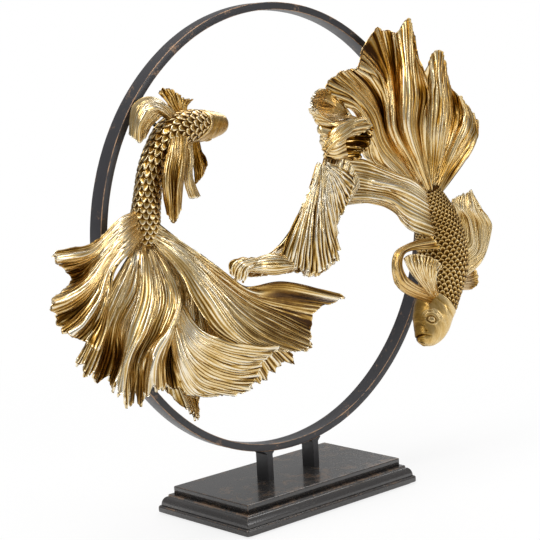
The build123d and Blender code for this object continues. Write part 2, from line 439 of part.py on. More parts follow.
def flipped(net):
    """The net with its rows and columns exchanged."""
    return [list(column) for column in zip(*net)]


def net_normal(net, row, column):
    """Unit normal of a net at one of its points, from its neighbours along both ways."""
    last_row = len(net) - 1
    last_column = len(net[0]) - 1
    across = net[min(row + 1, last_row)][column] - net[max(row - 1, 0)][column]
    along = net[row][min(column + 1, last_column)] - net[row][max(column - 1, 0)]
    return across.cross(along).normalized()


def triangle(*corners):
    """Flat face between three corners."""
    return Face(Wire.make_polygon(corners, close=True))


def mesh(net):
    """Two flat faces for each cell of a net of points."""
    faces = []
    for low, high in zip(net, net[1:]):
        for k in range(len(low) - 1):
            faces.append(triangle(low[k], low[k + 1], high[k + 1]))
            faces.append(triangle(low[k], high[k + 1], high[k]))
    return faces


def sheet(rows, thickness):
    """Thick swept sheet of flat facets whose middle follows the rays of a net."""
    net = eased([[from_ring(share) for share in row] for row in rows])
    net = flipped([refined(column) for column in flipped([refined(row) for row in net])])
    front, back = [
        [
            [point + net_normal(net, i, j) * offset for j, point in enumerate(row)]
            for i, row in enumerate(net)
        ]
        for offset in (thickness / 2, -thickness / 2)
    ]
    faces = mesh(front) + mesh(back)
    faces += mesh([front[0], back[0]]) + mesh([front[-1], back[-1]])
    faces += mesh([flipped(front)[0], flipped(back)[0]]) + mesh([flipped(front)[-1], flipped(back)[-1]])
    return Solid(Shell(faces)).fix()


def largest(shape):
    """The largest solid of a shape, which drops what a cut leaves beyond the seat."""
    return shape.solids().sort_by(SortBy.VOLUME)[-1]


def seated(piece, *carriers):
    """The piece, cut back to the faces of what carries it."""
    for carrier in carriers:
        piece = largest(piece - carrier)
    return piece


def body(stations):
    """Fish body of flat facets, round in section at each station and square to its spine."""
    places = refined([from_ring(row) for row in stations])
    halves = refined([Vector(row[3], row[4], 0) * RING_OUTER_RADIUS for row in stations])
    rings = []
    for i, half in enumerate(halves):
        run = places[min(i + 1, len(places) - 1)] - places[max(i - 1, 0)]
        across = run.cross(FLANK_DIRECTION).normalized()
        through = run.cross(across).normalized()
        turns = [2 * math.pi * k / BODY_SIDES for k in range(BODY_SIDES)]
        ring_points = [
            places[i] + across * (half.X * math.cos(turn)) + through * (half.Y * math.sin(turn))
            for turn in turns
        ]
        rings.append([*ring_points, ring_points[0]])
    ends = [Face(Wire.make_polygon(end[:-1], close=True)) for end in (rings[0], rings[-1])]
    return Solid(Shell(mesh(rings) + ends)).fix()


def rectangle_block(length, width, low, high):
    """Rectangular block centred on the plinth's axis between two heights."""
    middle = Pos(0, 0, (low + high) / 2)
    return middle * Box(length, width, high - low)


def bottom_board():
    """Lowest board, with rounded edges and a counterbore under each post."""
    spread = 2 * (LEDGE_PROJECTION + OVOLO_PROJECTION + BOTTOM_BOARD_PROJECTION)
    board = rectangle_block(
        TOP_BOARD_LENGTH + spread, TOP_BOARD_WIDTH + spread, FELT_THICKNESS, BOTTOM_BOARD_TOP
    )
    board = fillet(board.edges().filter_by(Axis.Z), BOARD_EDGE_ROUNDING)
    board = fillet(board.faces().sort_by(Axis.Z)[-1].edges(), BOARD_EDGE_ROUNDING / 2)
    bore_radius = SCREW_RADIUS + SCREW_CLEARANCE
    for place in POST_PLACES:
        bore = Cylinder(bore_radius, BOTTOM_BOARD_THICKNESS + 2 * OVERRUN)
        board -= Pos(place, 0, FELT_THICKNESS + BOTTOM_BOARD_THICKNESS / 2) * bore
        recess = Cylinder(COUNTERBORE_RADIUS, COUNTERBORE_DEPTH + OVERRUN)
        board -= Pos(place, 0, FELT_THICKNESS + (COUNTERBORE_DEPTH - OVERRUN) / 2) * recess
    return board


def ovolo_profile(half_ledge, plane):
    """Section of the moulding: a short upright ledge over a convex quarter round."""
    half_foot = half_ledge + OVOLO_PROJECTION
    shoulder = MOULDING_TOP - LEDGE_HEIGHT
    outline = [
        Line((-half_foot, BOTTOM_BOARD_TOP), (half_foot, BOTTOM_BOARD_TOP)),
        Bezier(
            (half_foot, BOTTOM_BOARD_TOP),
            (half_foot, (BOTTOM_BOARD_TOP + shoulder) / 2),
            (half_ledge + OVOLO_PROJECTION / 2, shoulder),
            (half_ledge, shoulder),
        ),
        Polyline(
            (half_ledge, shoulder), (half_ledge, MOULDING_TOP),
            (-half_ledge, MOULDING_TOP), (-half_ledge, shoulder),
        ),
        Bezier(
            (-half_ledge, shoulder),
            (-half_ledge - OVOLO_PROJECTION / 2, shoulder),
            (-half_foot, (BOTTOM_BOARD_TOP + shoulder) / 2),
            (-half_foot, BOTTOM_BOARD_TOP),
        ),
    ]
    return plane * make_face(outline)


def moulding():
    """Moulded middle tier, mitred at its corners, bored for the two post screws."""
    half_length = TOP_BOARD_LENGTH / 2 + LEDGE_PROJECTION
    half_width = TOP_BOARD_WIDTH / 2 + LEDGE_PROJECTION
    reach = half_length + OVOLO_PROJECTION + OVERRUN
    along_x = extrude(ovolo_profile(half_length, Plane.XZ), reach, both=True)
    along_y = extrude(ovolo_profile(half_width, Plane.YZ), reach, both=True)
    tier = along_x & along_y
    bore_radius = SCREW_RADIUS + SCREW_CLEARANCE
    for place in POST_PLACES:
        bore = Cylinder(bore_radius, MOULDING_HEIGHT + 2 * OVERRUN)
        tier -= Pos(place, 0, BOTTOM_BOARD_TOP + MOULDING_HEIGHT / 2) * bore
    return tier


def top_board():
    """Top board that the posts stand on, bored for their screws."""
    board = rectangle_block(TOP_BOARD_LENGTH, TOP_BOARD_WIDTH, MOULDING_TOP, PLINTH_TOP)
    board = fillet(board.faces().sort_by(Axis.Z)[-1].edges(), TOP_EDGE_ROUNDING)
    bore_radius = SCREW_RADIUS + SCREW_CLEARANCE
    for place in POST_PLACES:
        bore = Cylinder(bore_radius, TOP_BOARD_THICKNESS + 2 * OVERRUN)
        board -= Pos(place, 0, MOULDING_TOP + TOP_BOARD_THICKNESS / 2) * bore
    return board


def felt_sheet():
    """Felt glued under the bottom board, a little in from its edge."""
    spread = 2 * (LEDGE_PROJECTION + OVOLO_PROJECTION + BOTTOM_BOARD_PROJECTION - FELT_INSET)
    felt = rectangle_block(TOP_BOARD_LENGTH + spread, TOP_BOARD_WIDTH + spread, 0, FELT_THICKNESS)
    return fillet(felt.edges().filter_by(Axis.Z), FELT_CORNER_RADIUS)


def ring():
    """Rolled flat bar, standing on edge, with softened corners."""
    section = Rectangle(RING_BAR_THICKNESS, RING_BAR_DEPTH)
    section = fillet(section.vertices(), RING_EDGE_ROUNDING)
    placed = Pos(RING_MIDDLE_RADIUS, 0, 0) * section
    return Pos(0, 0, RING_CENTRE_HEIGHT) * revolve(placed, Axis.Y)


def ring_outer_disc():
    """Solid disc that fills the ring's outer outline, which the posts are coped to."""
    disc = Cylinder(RING_OUTER_RADIUS, RING_BAR_DEPTH + POST_DEPTH, rotation=(90, 0, 0))
    return Pos(0, 0, RING_CENTRE_HEIGHT) * disc


def post(place):
    """Flat bar from the top board up to the ring, tapped from below."""
    top = PLINTH_TOP + RING_CLEAR_HEIGHT + RING_BAR_THICKNESS
    bar = Pos(place, 0, (PLINTH_TOP + top) / 2) * Box(POST_WIDTH, POST_DEPTH, top - PLINTH_TOP)
    bar = largest(bar - ring_outer_disc())
    hole_radius = SCREW_RADIUS + SCREW_CLEARANCE
    hole = Cylinder(hole_radius, SCREW_ENGAGEMENT + 2 * OVERRUN)
    return bar - Pos(place, 0, PLINTH_TOP + SCREW_ENGAGEMENT / 2) * hole


def post_weld_beads():
    """Fillet weld along both long sides of each post, under the ring."""
    beads = []
    disc = ring_outer_disc()
    for place in POST_PLACES:
        drop = RING_OUTER_RADIUS - math.sqrt(RING_OUTER_RADIUS ** 2 - place ** 2)
        corner = PLINTH_TOP + RING_CLEAR_HEIGHT + drop
        for side in (-1, 1):
            face = place + side * POST_WIDTH / 2
            outline = make_face(Polyline(
                (face, corner - WELD_LEG),
                (face + side * WELD_LEG, corner),
                (face + side * WELD_LEG, corner + OVERRUN),
                (face, corner + OVERRUN),
                close=True,
            ))
            bead = extrude(Plane.XZ * outline, POST_DEPTH / 2, both=True)
            beads.append(largest(bead - disc))
    return Compound(beads)


def post_screws():
    """Cap screws that pull each post down on the plinth."""
    screws = []
    seat = FELT_THICKNESS + COUNTERBORE_DEPTH - WASHER_THICKNESS
    tip = PLINTH_TOP + SCREW_ENGAGEMENT
    for place in POST_PLACES:
        head = Pos(place, 0, seat - SCREW_HEAD_HEIGHT / 2) * Cylinder(SCREW_HEAD_RADIUS, SCREW_HEAD_HEIGHT)
        shank = Pos(place, 0, (seat + tip) / 2) * Cylinder(SCREW_RADIUS, tip - seat)
        screws.append((head + shank).solid())
    return Compound(screws)


def post_washers():
    """Plain washers between the screw heads and the bottom board."""
    washers = []
    middle = FELT_THICKNESS + COUNTERBORE_DEPTH - WASHER_THICKNESS / 2
    hole_radius = SCREW_RADIUS + SCREW_CLEARANCE
    for place in POST_PLACES:
        disc = Cylinder(WASHER_RADIUS, WASHER_THICKNESS) - Cylinder(hole_radius, WASHER_THICKNESS + OVERRUN)
        washers.append(Pos(place, 0, middle) * disc)
    return Compound([washer.solid() for washer in washers])


def rod(start, run, length, radius):
    """Round rod from a place along a unit direction."""
    return extrude(Plane(start, z_dir=run) * Circle(radius), length)


def body_pin(start, run, length, hoop):
    """Pin welded on the ring that reaches into a fish body."""
    return largest(rod(start - run * OVERRUN, run, length + OVERRUN, PIN_RADIUS) - hoop)


def pin_hole(start, run, length):
    """Hole in a fish body for one pin, with clearance round it and at its end."""
    return rod(start, run, length + PIN_CLEARANCE, PIN_RADIUS + PIN_CLEARANCE)


def tail_pin(start, run, hoop, tail):
    """Pin from the ring to the back of a tail, cut off where it meets the tail."""
    bar = rod(start - run * OVERRUN, run, TAIL_PIN_REACH, PIN_RADIUS) - hoop - tail
    return bar.solids().sort_by_distance(start)[0]


def weld_collar(start, run, sink=0):
    """Cone-shaped weld bead round a pin, its wide end on the ring or sunk below it."""
    foot = Plane(start - run * sink, z_dir=run) * Circle(PIN_RADIUS + BEAD_PROJECTION)
    top = Plane(start + run * BEAD_HEIGHT, z_dir=run) * Circle(PIN_RADIUS + BEAD_PROJECTION / 5)
    bore = rod(start - run * OVERRUN, run, BEAD_HEIGHT + 2 * OVERRUN, PIN_RADIUS)
    return largest(loft([foot, top]) - bore)


def build():
    """Every piece by its node name."""
    pieces = {
        "base_bottom_board": bottom_board(),
        "base_moulding": moulding(),
        "base_top_board": top_board(),
        "felt_sheet": felt_sheet(),
        "post_screws": post_screws(),
        "post_washers": post_washers(),
        "left_post": post(POST_PLACES[0]),
        "right_post": post(POST_PLACES[1]),
        "post_weld_beads": post_weld_beads(),
        "ring": ring(),
    }
    hoop = pieces["ring"]
    forward = Vector(0, -1, 0)
    inward = (on_ring(LEFT_BODY_PIN_ANGLE, 0, 0) - on_ring(LEFT_BODY_PIN_ANGLE, 1, 0)).normalized()

    left_body_start = on_ring(LEFT_BODY_PIN_ANGLE, RING_INNER_RADIUS, -LEFT_BODY_PIN_SETBACK)
    left_tail_start = on_ring(LEFT_TAIL_PIN_ANGLE, RING_MIDDLE_RADIUS, RING_FRONT)
    right_body_starts = [on_ring(angle, RING_MIDDLE_RADIUS, RING_FRONT) for angle in RIGHT_BODY_PIN_ANGLES]
    right_fan_start = on_ring(RIGHT_FAN_PIN_ANGLE, RING_MIDDLE_RADIUS, RING_FRONT)

    left_body = body(LEFT_BODY_SHARES)
    veil = seated(sheet(LEFT_VEIL_SHARES, TAIL_THICKNESS), left_body)
    outer_lobe = seated(sheet(LEFT_OUTER_LOBE_SHARES, TAIL_THICKNESS), left_body, veil)
    pieces |= {
        "left_fish_tail_veil": veil,
        "left_fish_tail_outer_lobe": outer_lobe,
        "left_fish_tail_sweep": seated(sheet(LEFT_SWEEP_SHARES, TAIL_THICKNESS), left_body, veil),
        "left_fish_tail_back_lobe": seated(sheet(LEFT_BACK_LOBE_SHARES, TAIL_THICKNESS), left_body, veil),
        "left_fish_pectoral_fin": seated(sheet(LEFT_PECTORAL_SHARES, FIN_THICKNESS), left_body),
        "left_fish_hood_fin": seated(sheet(LEFT_HOOD_SHARES, FIN_THICKNESS), left_body),
        "left_fish_dorsal_fin": seated(sheet(LEFT_DORSAL_SHARES, FIN_THICKNESS), left_body),
        "left_fish_far_pectoral_fin": seated(sheet(LEFT_FAR_PECTORAL_SHARES, FIN_THICKNESS), left_body),
        "left_fish_pelvic_fin": seated(sheet(LEFT_PELVIC_SHARES, FIN_THICKNESS), left_body),
        "left_fish_body": left_body - pin_hole(left_body_start, inward, LEFT_BODY_PIN_LENGTH),
        "left_fish_body_pin": body_pin(left_body_start, inward, LEFT_BODY_PIN_LENGTH, hoop),
        "left_fish_tail_pin": tail_pin(left_tail_start, forward, hoop, veil),
    }

    right_body = body(RIGHT_BODY_SHARES)
    front_fan = seated(sheet(RIGHT_FRONT_FAN_SHARES, TAIL_THICKNESS), right_body)
    sweep = sheet(RIGHT_SWEEP_SHARES, TAIL_THICKNESS)
    arm = seated(sheet(RIGHT_ARM_SHARES, TAIL_THICKNESS), right_body, sweep, front_fan)
    roll = seated(sheet(RIGHT_ROLL_SHARES, FIN_THICKNESS), sweep, arm, front_fan)
    curling = seated(sheet(RIGHT_CURLING_SHARES, FIN_THICKNESS), right_body)
    drilled = right_body
    for start in right_body_starts:
        drilled = drilled - pin_hole(start, forward, RIGHT_BODY_PIN_LENGTH)
    pieces |= {
        "right_fish_tail_front_fan": front_fan,
        "right_fish_tail_back_fan": seated(
            sheet(RIGHT_BACK_FAN_SHARES, TAIL_THICKNESS), right_body, front_fan),
        "right_fish_tail_sweep": sweep,
        "right_fish_tail_arm": arm,
        "right_fish_tail_roll": roll,
        "right_fish_tail_cup": seated(sheet(RIGHT_CUP_SHARES, FIN_THICKNESS), roll, front_fan),
        "right_fish_dorsal_fin": seated(sheet(RIGHT_DORSAL_SHARES, FIN_THICKNESS), right_body),
        "right_fish_far_pectoral_fin": seated(
            sheet(RIGHT_FAR_PECTORAL_SHARES, FIN_THICKNESS), right_body),
        "right_fish_curling_fin": curling,
        "right_fish_pectoral_fin": seated(
            sheet(RIGHT_PECTORAL_SHARES, FIN_THICKNESS), right_body, curling),
        "right_fish_body": drilled,
        "right_fish_body_pins": Compound([
            body_pin(start, forward, RIGHT_BODY_PIN_LENGTH, hoop) for start in right_body_starts
        ]),
        "right_fish_fan_pin": tail_pin(right_fan_start, forward, hoop, front_fan),
    }

    starts = [left_tail_start, *right_body_starts, right_fan_start]
    collars = [weld_collar(start, forward) for start in starts]
    collars.append(largest(weld_collar(left_body_start, inward, OVERRUN / 2) - hoop))
    pieces["fish_pin_weld_beads"] = Compound(collars)
    return pieces


if __name__ == "__main__":
    os.makedirs("parts", exist_ok=True)
    for name, shape in build().items():
        export_step(shape, f"parts/{name}.step")
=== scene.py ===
import bpy
import math
import numpy as np
from mathutils import Matrix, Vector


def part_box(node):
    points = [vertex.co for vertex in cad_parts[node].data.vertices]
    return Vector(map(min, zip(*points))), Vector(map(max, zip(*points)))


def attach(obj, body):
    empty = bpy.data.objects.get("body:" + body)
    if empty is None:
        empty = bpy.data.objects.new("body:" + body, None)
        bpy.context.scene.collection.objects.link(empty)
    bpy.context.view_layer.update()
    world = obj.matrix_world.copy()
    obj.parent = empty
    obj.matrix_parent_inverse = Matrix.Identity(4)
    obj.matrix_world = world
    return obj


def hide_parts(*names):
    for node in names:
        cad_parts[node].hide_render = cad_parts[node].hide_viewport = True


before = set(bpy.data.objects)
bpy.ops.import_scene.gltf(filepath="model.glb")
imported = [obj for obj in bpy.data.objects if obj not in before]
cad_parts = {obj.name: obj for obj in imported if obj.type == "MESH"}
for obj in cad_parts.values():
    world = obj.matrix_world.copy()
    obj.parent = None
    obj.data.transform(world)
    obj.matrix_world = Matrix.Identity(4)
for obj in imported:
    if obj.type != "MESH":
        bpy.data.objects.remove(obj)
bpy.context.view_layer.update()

# Two gilded fish with veil tails on a black steel ring over a lacquered plinth, in metres
RING_LOW, RING_HIGH = [np.array(corner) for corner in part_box("ring")]
RING_RADIUS = (RING_HIGH[0] - RING_LOW[0]) / 2
RING_CENTRE = (RING_LOW + RING_HIGH) / 2
MM = 0.001


# Grids and curves

def cubic_weights(count, places):
    """Weights that turn count control points into points of a smooth curve.

    Each place runs from 0 at the first control point to 1 at the last. The curve is the
    Catmull-Rom one, with a straight run beyond each end.
    """
    at = np.clip(np.asarray(places, float), 0, 1) * (count - 1)
    start = np.minimum(at.astype(int), count - 2)
    t = at - start
    shares = [
        (-t + 2 * t ** 2 - t ** 3) / 2,
        (2 - 5 * t ** 2 + 3 * t ** 3) / 2,
        (t + 4 * t ** 2 - 3 * t ** 3) / 2,
        (-t ** 2 + t ** 3) / 2,
    ]
    weights = np.zeros((len(at), count + 2))
    for step, share in enumerate(shares):
        weights[np.arange(len(at)), start + step] += share
    inner = weights[:, 1:-1]
    inner[:, 0] += 2 * weights[:, 0]
    inner[:, 1] -= weights[:, 0]
    inner[:, -1] += 2 * weights[:, -1]
    inner[:, -2] -= weights[:, -1]
    return inner


def unit(vectors):
    """Vectors of length one."""
    return vectors / np.maximum(np.linalg.norm(vectors, axis=-1, keepdims=True), 1e-12)


def normals_of(points, closed=False):
    """Unit normals of a grid of points: the cross of its two directions."""
    if closed:
        across = np.roll(points, -1, 0) - np.roll(points, 1, 0)
    else:
        across = np.gradient(points, axis=0)
    return unit(np.cross(across, np.gradient(points, axis=1)))


def smooth_step(low, high, values):
    """0 below low, 1 above high and an S curve between."""
    share = np.clip((values - low) / (high - low), 0, 1)
    return share * share * (3 - 2 * share)


def ripple(seed, *axes):
    """Smooth random field from -1 to 1: a sum of five sine waves of random pitch and phase."""
    random = np.random.default_rng(seed)
    total = 0
    for wave in range(1, 6):
        phase = random.uniform(0, 2 * math.pi)
        for values in axes:
            phase = phase + values * random.uniform(0.6, 1.4) * wave * 2 * math.pi
        total = total + np.sin(phase) / wave
    return total / 1.6


def hump(values, middle, width):
    """Bell curve of height 1 at the middle: exp of minus the squared distance in widths."""
    return np.exp(-((values - middle) / width) ** 2)


def crest(phase, sharpness):
    """Round crests at the half turns and narrow valleys at the whole ones, from 0 to 1."""
    return np.abs(np.sin(math.pi * phase)) ** sharpness


def blurred(points, reach):
    """Grid averaged with its neighbours a few steps away along both ways."""
    total = points
    for step in (reach, -reach):
        rows = np.clip(np.arange(len(points)) + step, 0, len(points) - 1)
        columns = np.clip(np.arange(points.shape[1]) + step, 0, points.shape[1] - 1)
        total = total + points[rows] + points[:, columns]
    return total / 5


def swell(points, normals, reach):
    """How far each point stands above its surroundings, along its normal."""
    return np.sum((points - blurred(points, reach)) * normals, -1)


def grid_faces(rows, columns, close_rows=False, close_columns=False, start=0):
    """Quads between the points of a grid that is numbered row by row."""
    numbers = np.arange(rows * columns).reshape(rows, columns) + start
    if close_rows:
        numbers = np.vstack([numbers, numbers[:1]])
    if close_columns:
        numbers = np.hstack([numbers, numbers[:, :1]])
    corners = [numbers[:-1, :-1], numbers[1:, :-1], numbers[1:, 1:], numbers[:-1, 1:]]
    return np.stack(corners, -1).reshape(-1, 4)


def end_caps(rows, columns):
    """Outlines of the first and the last column of a grid whose rows close into a tube."""
    first = np.arange(rows) * columns
    return [first[::-1], first + columns - 1]


def make_piece(name, points, faces, attributes, material, caps=()):
    """Smooth-shaded mesh object from arrays of points, quads and point attributes."""
    mesh = bpy.data.meshes.new(name)
    mesh.from_pydata(points.tolist(), [], faces.tolist() + [list(cap) for cap in caps])
    for label, values in attributes.items():
        field = mesh.attributes.new(label, "FLOAT", "POINT")
        field.data.foreach_set("value", np.asarray(values, np.float32).ravel())
    mesh.polygons.foreach_set("use_smooth", [True] * len(mesh.polygons))
    mesh.materials.append(material)
    mesh.update()
    piece = bpy.data.objects.new(name, mesh)
    bpy.context.scene.collection.objects.link(piece)
    return piece


# Nets of the tails and fins: a row for each ray from its root to its tip, and each point as
# (right, back, up) from the ring's centre in steps of a 200th of the ring's radius
NET_STEPS = 200

LEFT_OUTER_LOBE_NET = [
    [(-166, -19, 36), (-189, -22, 31), (-205, -22, 20), (-222, -24, 14), (-242, -27, 13), (-260, -28, 13)],
    [(-167, -20, 33), (-192, -27, 26), (-209, -27, 15), (-227, -31, 7), (-245, -33, 6), (-264, -31, 6)],
    [(-166, -20, 29), (-193, -30, 21), (-211, -31, 9), (-223, -27, -1), (-230, -21, -10), (-239, -16, -14)],
    [(-166, -21, 25), (-195, -34, 17), (-215, -37, 4), (-235, -41, -12), (-255, -41, -21), (-276, -40, -24)],
    [(-166, -21, 22), (-196, -37, 13), (-216, -39, -2),
     (-233, -40, -21), (-249, -36, -35), (-267, -33, -43)],
    [(-166, -21, 19), (-197, -39, 9), (-219, -44, -4), (-236, -49, -27), (-250, -48, -42), (-265, -46, -51)],
    [(-166, -22, 16), (-199, -41, 7), (-219, -47, -6), (-230, -50, -27), (-240, -47, -46), (-251, -43, -59)],
    [(-166, -22, 14), (-201, -43, 4), (-221, -50, -7), (-229, -56, -24), (-236, -59, -43), (-247, -59, -66)],
]
LEFT_VEIL_NET = [
    [(-174, -16, 12), (-183, -27, 5), (-198, -31, -7), (-220, -34, -30), (-239, -36, -57), (-256, -36, -77)],
    [(-172, -16, 12), (-183, -28, 1), (-196, -33, -18),
     (-215, -34, -45), (-229, -34, -69), (-244, -34, -91)],
    [(-170, -17, 12), (-182, -31, -4), (-195, -37, -25),
     (-209, -33, -50), (-213, -30, -75), (-222, -27, -101)],
    [(-168, -17, 12), (-182, -33, -6), (-193, -41, -29),
     (-209, -39, -54), (-206, -34, -77), (-219, -33, -105)],
    [(-167, -17, 12), (-181, -36, -8), (-192, -44, -31),
     (-208, -49, -55), (-217, -50, -77), (-228, -49, -104)],
    [(-165, -18, 12), (-175, -37, -12), (-183, -47, -34),
     (-198, -52, -56), (-215, -53, -79), (-223, -52, -114)],
    [(-163, -18, 12), (-167, -36, -15), (-171, -43, -38),
     (-183, -44, -60), (-197, -41, -83), (-202, -36, -124)],
    [(-161, -18, 12), (-161, -37, -15), (-162, -46, -38),
     (-176, -49, -60), (-193, -49, -81), (-198, -46, -120)],
    [(-159, -19, 12), (-157, -39, -14), (-157, -50, -38),
     (-173, -56, -59), (-191, -58, -81), (-193, -55, -111)],
    [(-157, -19, 12), (-151, -37, -14), (-148, -44, -39),
     (-157, -44, -63), (-162, -40, -89), (-156, -36, -117)],
    [(-155, -20, 12), (-146, -36, -12), (-144, -44, -37),
     (-153, -49, -63), (-154, -49, -91), (-143, -44, -123)],
    [(-154, -20, 12), (-144, -37, -10), (-140, -47, -34),
     (-144, -53, -63), (-140, -55, -92), (-123, -52, -124)],
    [(-152, -20, 12), (-141, -37, -8), (-130, -46, -33),
     (-124, -49, -62), (-108, -47, -93), (-83, -43, -131)],
    [(-150, -21, 12), (-137, -36, -7), (-121, -43, -32),
     (-103, -44, -62), (-80, -43, -90), (-51, -37, -126)],
    [(-148, -21, 12), (-134, -34, -6), (-112, -40, -32), (-84, -41, -61), (-51, -40, -86), (-10, -34, -116)],
]
LEFT_VEIL_LAYER_NET = [
    [(-150, -27, 0), (-149, -44, -40), (-144, -59, -62),
     (-126, -68, -74), (-106, -79, -81), (-70, -77, -88)],
    [(-151, -27, -1), (-152, -44, -43), (-148, -59, -66),
     (-129, -67, -79), (-106, -75, -87), (-79, -73, -93)],
    [(-152, -27, -3), (-154, -44, -46), (-152, -58, -71),
     (-132, -63, -88), (-106, -66, -99), (-83, -65, -101)],
    [(-153, -27, -4), (-156, -44, -48), (-156, -56, -77),
     (-138, -59, -96), (-112, -59, -108), (-83, -58, -113)],
    [(-154, -27, -6), (-159, -44, -53), (-160, -56, -83),
     (-146, -57, -104), (-121, -56, -116), (-93, -53, -126)],
    [(-155, -27, -7), (-161, -44, -56), (-164, -55, -87),
     (-154, -54, -107), (-140, -53, -119), (-117, -50, -123)],
    [(-158, -27, -8), (-163, -44, -58), (-164, -47, -88),
     (-159, -47, -107), (-151, -47, -117), (-142, -46, -122)],
]
LEFT_SWEEP_NET = [
    [(-163, -27, 11), (-155, -49, -15), (-147, -59, -42),
     (-135, -67, -65), (-112, -74, -81), (-71, -71, -92)],
    [(-162, -27, 13), (-149, -50, -8), (-137, -67, -36),
     (-123, -74, -61), (-102, -76, -80), (-64, -71, -94)],
    [(-161, -27, 15), (-145, -49, -5), (-127, -62, -31),
     (-104, -67, -56), (-70, -64, -78), (-18, -58, -102)],
    [(-160, -27, 17), (-141, -46, -1), (-117, -55, -27), (-82, -53, -51), (-40, -46, -71), (0, -40, -91)],
    [(-160, -27, 20), (-141, -44, 1), (-116, -53, -22), (-80, -55, -46), (-37, -49, -61), (6, -43, -72)],
    [(-159, -27, 22), (-142, -43, 4), (-119, -55, -17), (-89, -61, -40), (-44, -53, -50), (26, -49, -67)],
    [(-159, -27, 23), (-141, -41, 5), (-119, -52, -15), (-90, -58, -37), (-45, -59, -45), (24, -59, -64)],
    [(-159, -27, 25), (-142, -40, 6), (-120, -50, -13), (-95, -59, -35), (-50, -62, -37), (30, -56, -61)],
]
LEFT_BACK_LOBE_NET = [
    [(-158, -15, 16), (-146, 0, -18), (-143, 1, -49), (-141, 1, -75), (-141, 0, -96), (-142, 0, -115)],
    [(-156, -15, 16), (-138, 3, -20), (-131, 7, -51), (-132, 6, -81), (-134, 1, -105), (-133, -2, -131)],
    [(-155, -15, 15), (-132, 3, -20), (-125, 4, -51), (-128, 1, -81), (-129, -3, -108), (-124, -12, -142)],
    [(-154, -16, 16), (-125, 3, -21), (-112, 9, -54), (-109, 10, -85), (-110, 6, -112), (-115, -16, -154)],
    [(-153, -16, 17), (-120, 1, -20), (-104, 4, -50), (-99, 3, -81), (-99, -1, -107), (-100, -4, -131)],
    [(-152, -16, 18), (-113, 1, -18), (-88, 6, -46), (-73, 7, -75), (-60, 6, -102), (-52, 3, -124)],
]
LEFT_DORSAL_NET = [
    [(-120, -15, 109), (-129, -16, 119), (-139, -16, 130)],
    [(-119, -15, 109), (-126, -15, 121), (-132, -14, 132)],
    [(-117, -15, 109), (-123, -16, 121), (-129, -15, 132)],
    [(-115, -15, 109), (-120, -15, 120), (-123, -14, 131)],
    [(-114, -15, 108), (-117, -16, 119), (-118, -14, 128)],
    [(-112, -15, 108), (-114, -15, 118), (-113, -13, 125)],
    [(-110, -15, 108), (-110, -14, 116), (-105, -12, 122)],
    [(-108, -15, 108), (-106, -13, 115), (-94, -9, 121)],
]
LEFT_HOOD_NET = [
    [(-117, -18, 106), (-142, -22, 122), (-154, -19, 125),
     (-163, -15, 120), (-166, -13, 109), (-167, -12, 96)],
    [(-118, -19, 104), (-144, -27, 120), (-159, -27, 122),
     (-166, -24, 117), (-169, -21, 107), (-170, -18, 94)],
    [(-120, -19, 102), (-149, -30, 118), (-162, -32, 119),
     (-168, -30, 113), (-171, -28, 105), (-170, -23, 92)],
    [(-120, -19, 100), (-150, -32, 115), (-162, -34, 115),
     (-168, -33, 109), (-171, -31, 102), (-169, -27, 89)],
    [(-121, -19, 98), (-146, -28, 112), (-155, -30, 111),
     (-161, -29, 106), (-165, -27, 99), (-164, -24, 91)],
    [(-122, -18, 96), (-140, -24, 109), (-146, -23, 107),
     (-151, -22, 103), (-155, -21, 97), (-157, -20, 93)],
]
LEFT_PECTORAL_NET = [
    [(-133, -26, 98), (-148, -37, 82), (-157, -40, 65), (-158, -39, 49), (-150, -34, 30)],
    [(-130, -26, 98), (-147, -40, 82), (-156, -44, 65), (-157, -44, 49), (-151, -39, 25)],
    [(-127, -26, 99), (-140, -39, 82), (-146, -40, 64), (-147, -39, 47), (-146, -36, 22)],
    [(-123, -26, 99), (-136, -40, 81), (-143, -44, 64), (-147, -44, 48), (-145, -39, 26)],
    [(-120, -26, 98), (-129, -37, 81), (-133, -39, 65), (-136, -37, 49), (-137, -34, 32)],
]
LEFT_FAR_PECTORAL_NET = [
    [(-112, -16, 96), (-115, -21, 75), (-119, -21, 63), (-120, -21, 53), (-114, -18, 39)],
    [(-108, -15, 95), (-115, -24, 73), (-118, -25, 62), (-117, -25, 51), (-110, -22, 38)],
    [(-105, -14, 94), (-108, -19, 71), (-110, -19, 58), (-105, -18, 47), (-99, -15, 39)],
]
LEFT_PELVIC_NET = [
    [(-95, -4, 91), (-94, -3, 69), (-94, -3, 57), (-92, -1, 47)],
    [(-93, -4, 91), (-91, -6, 71), (-91, -9, 61), (-91, -9, 54)],
    [(-91, -4, 91), (-86, -3, 74), (-81, -3, 66), (-81, -1, 58)],
    [(-88, -4, 91), (-86, -4, 77), (-83, -6, 71), (-81, -6, 64)],
]
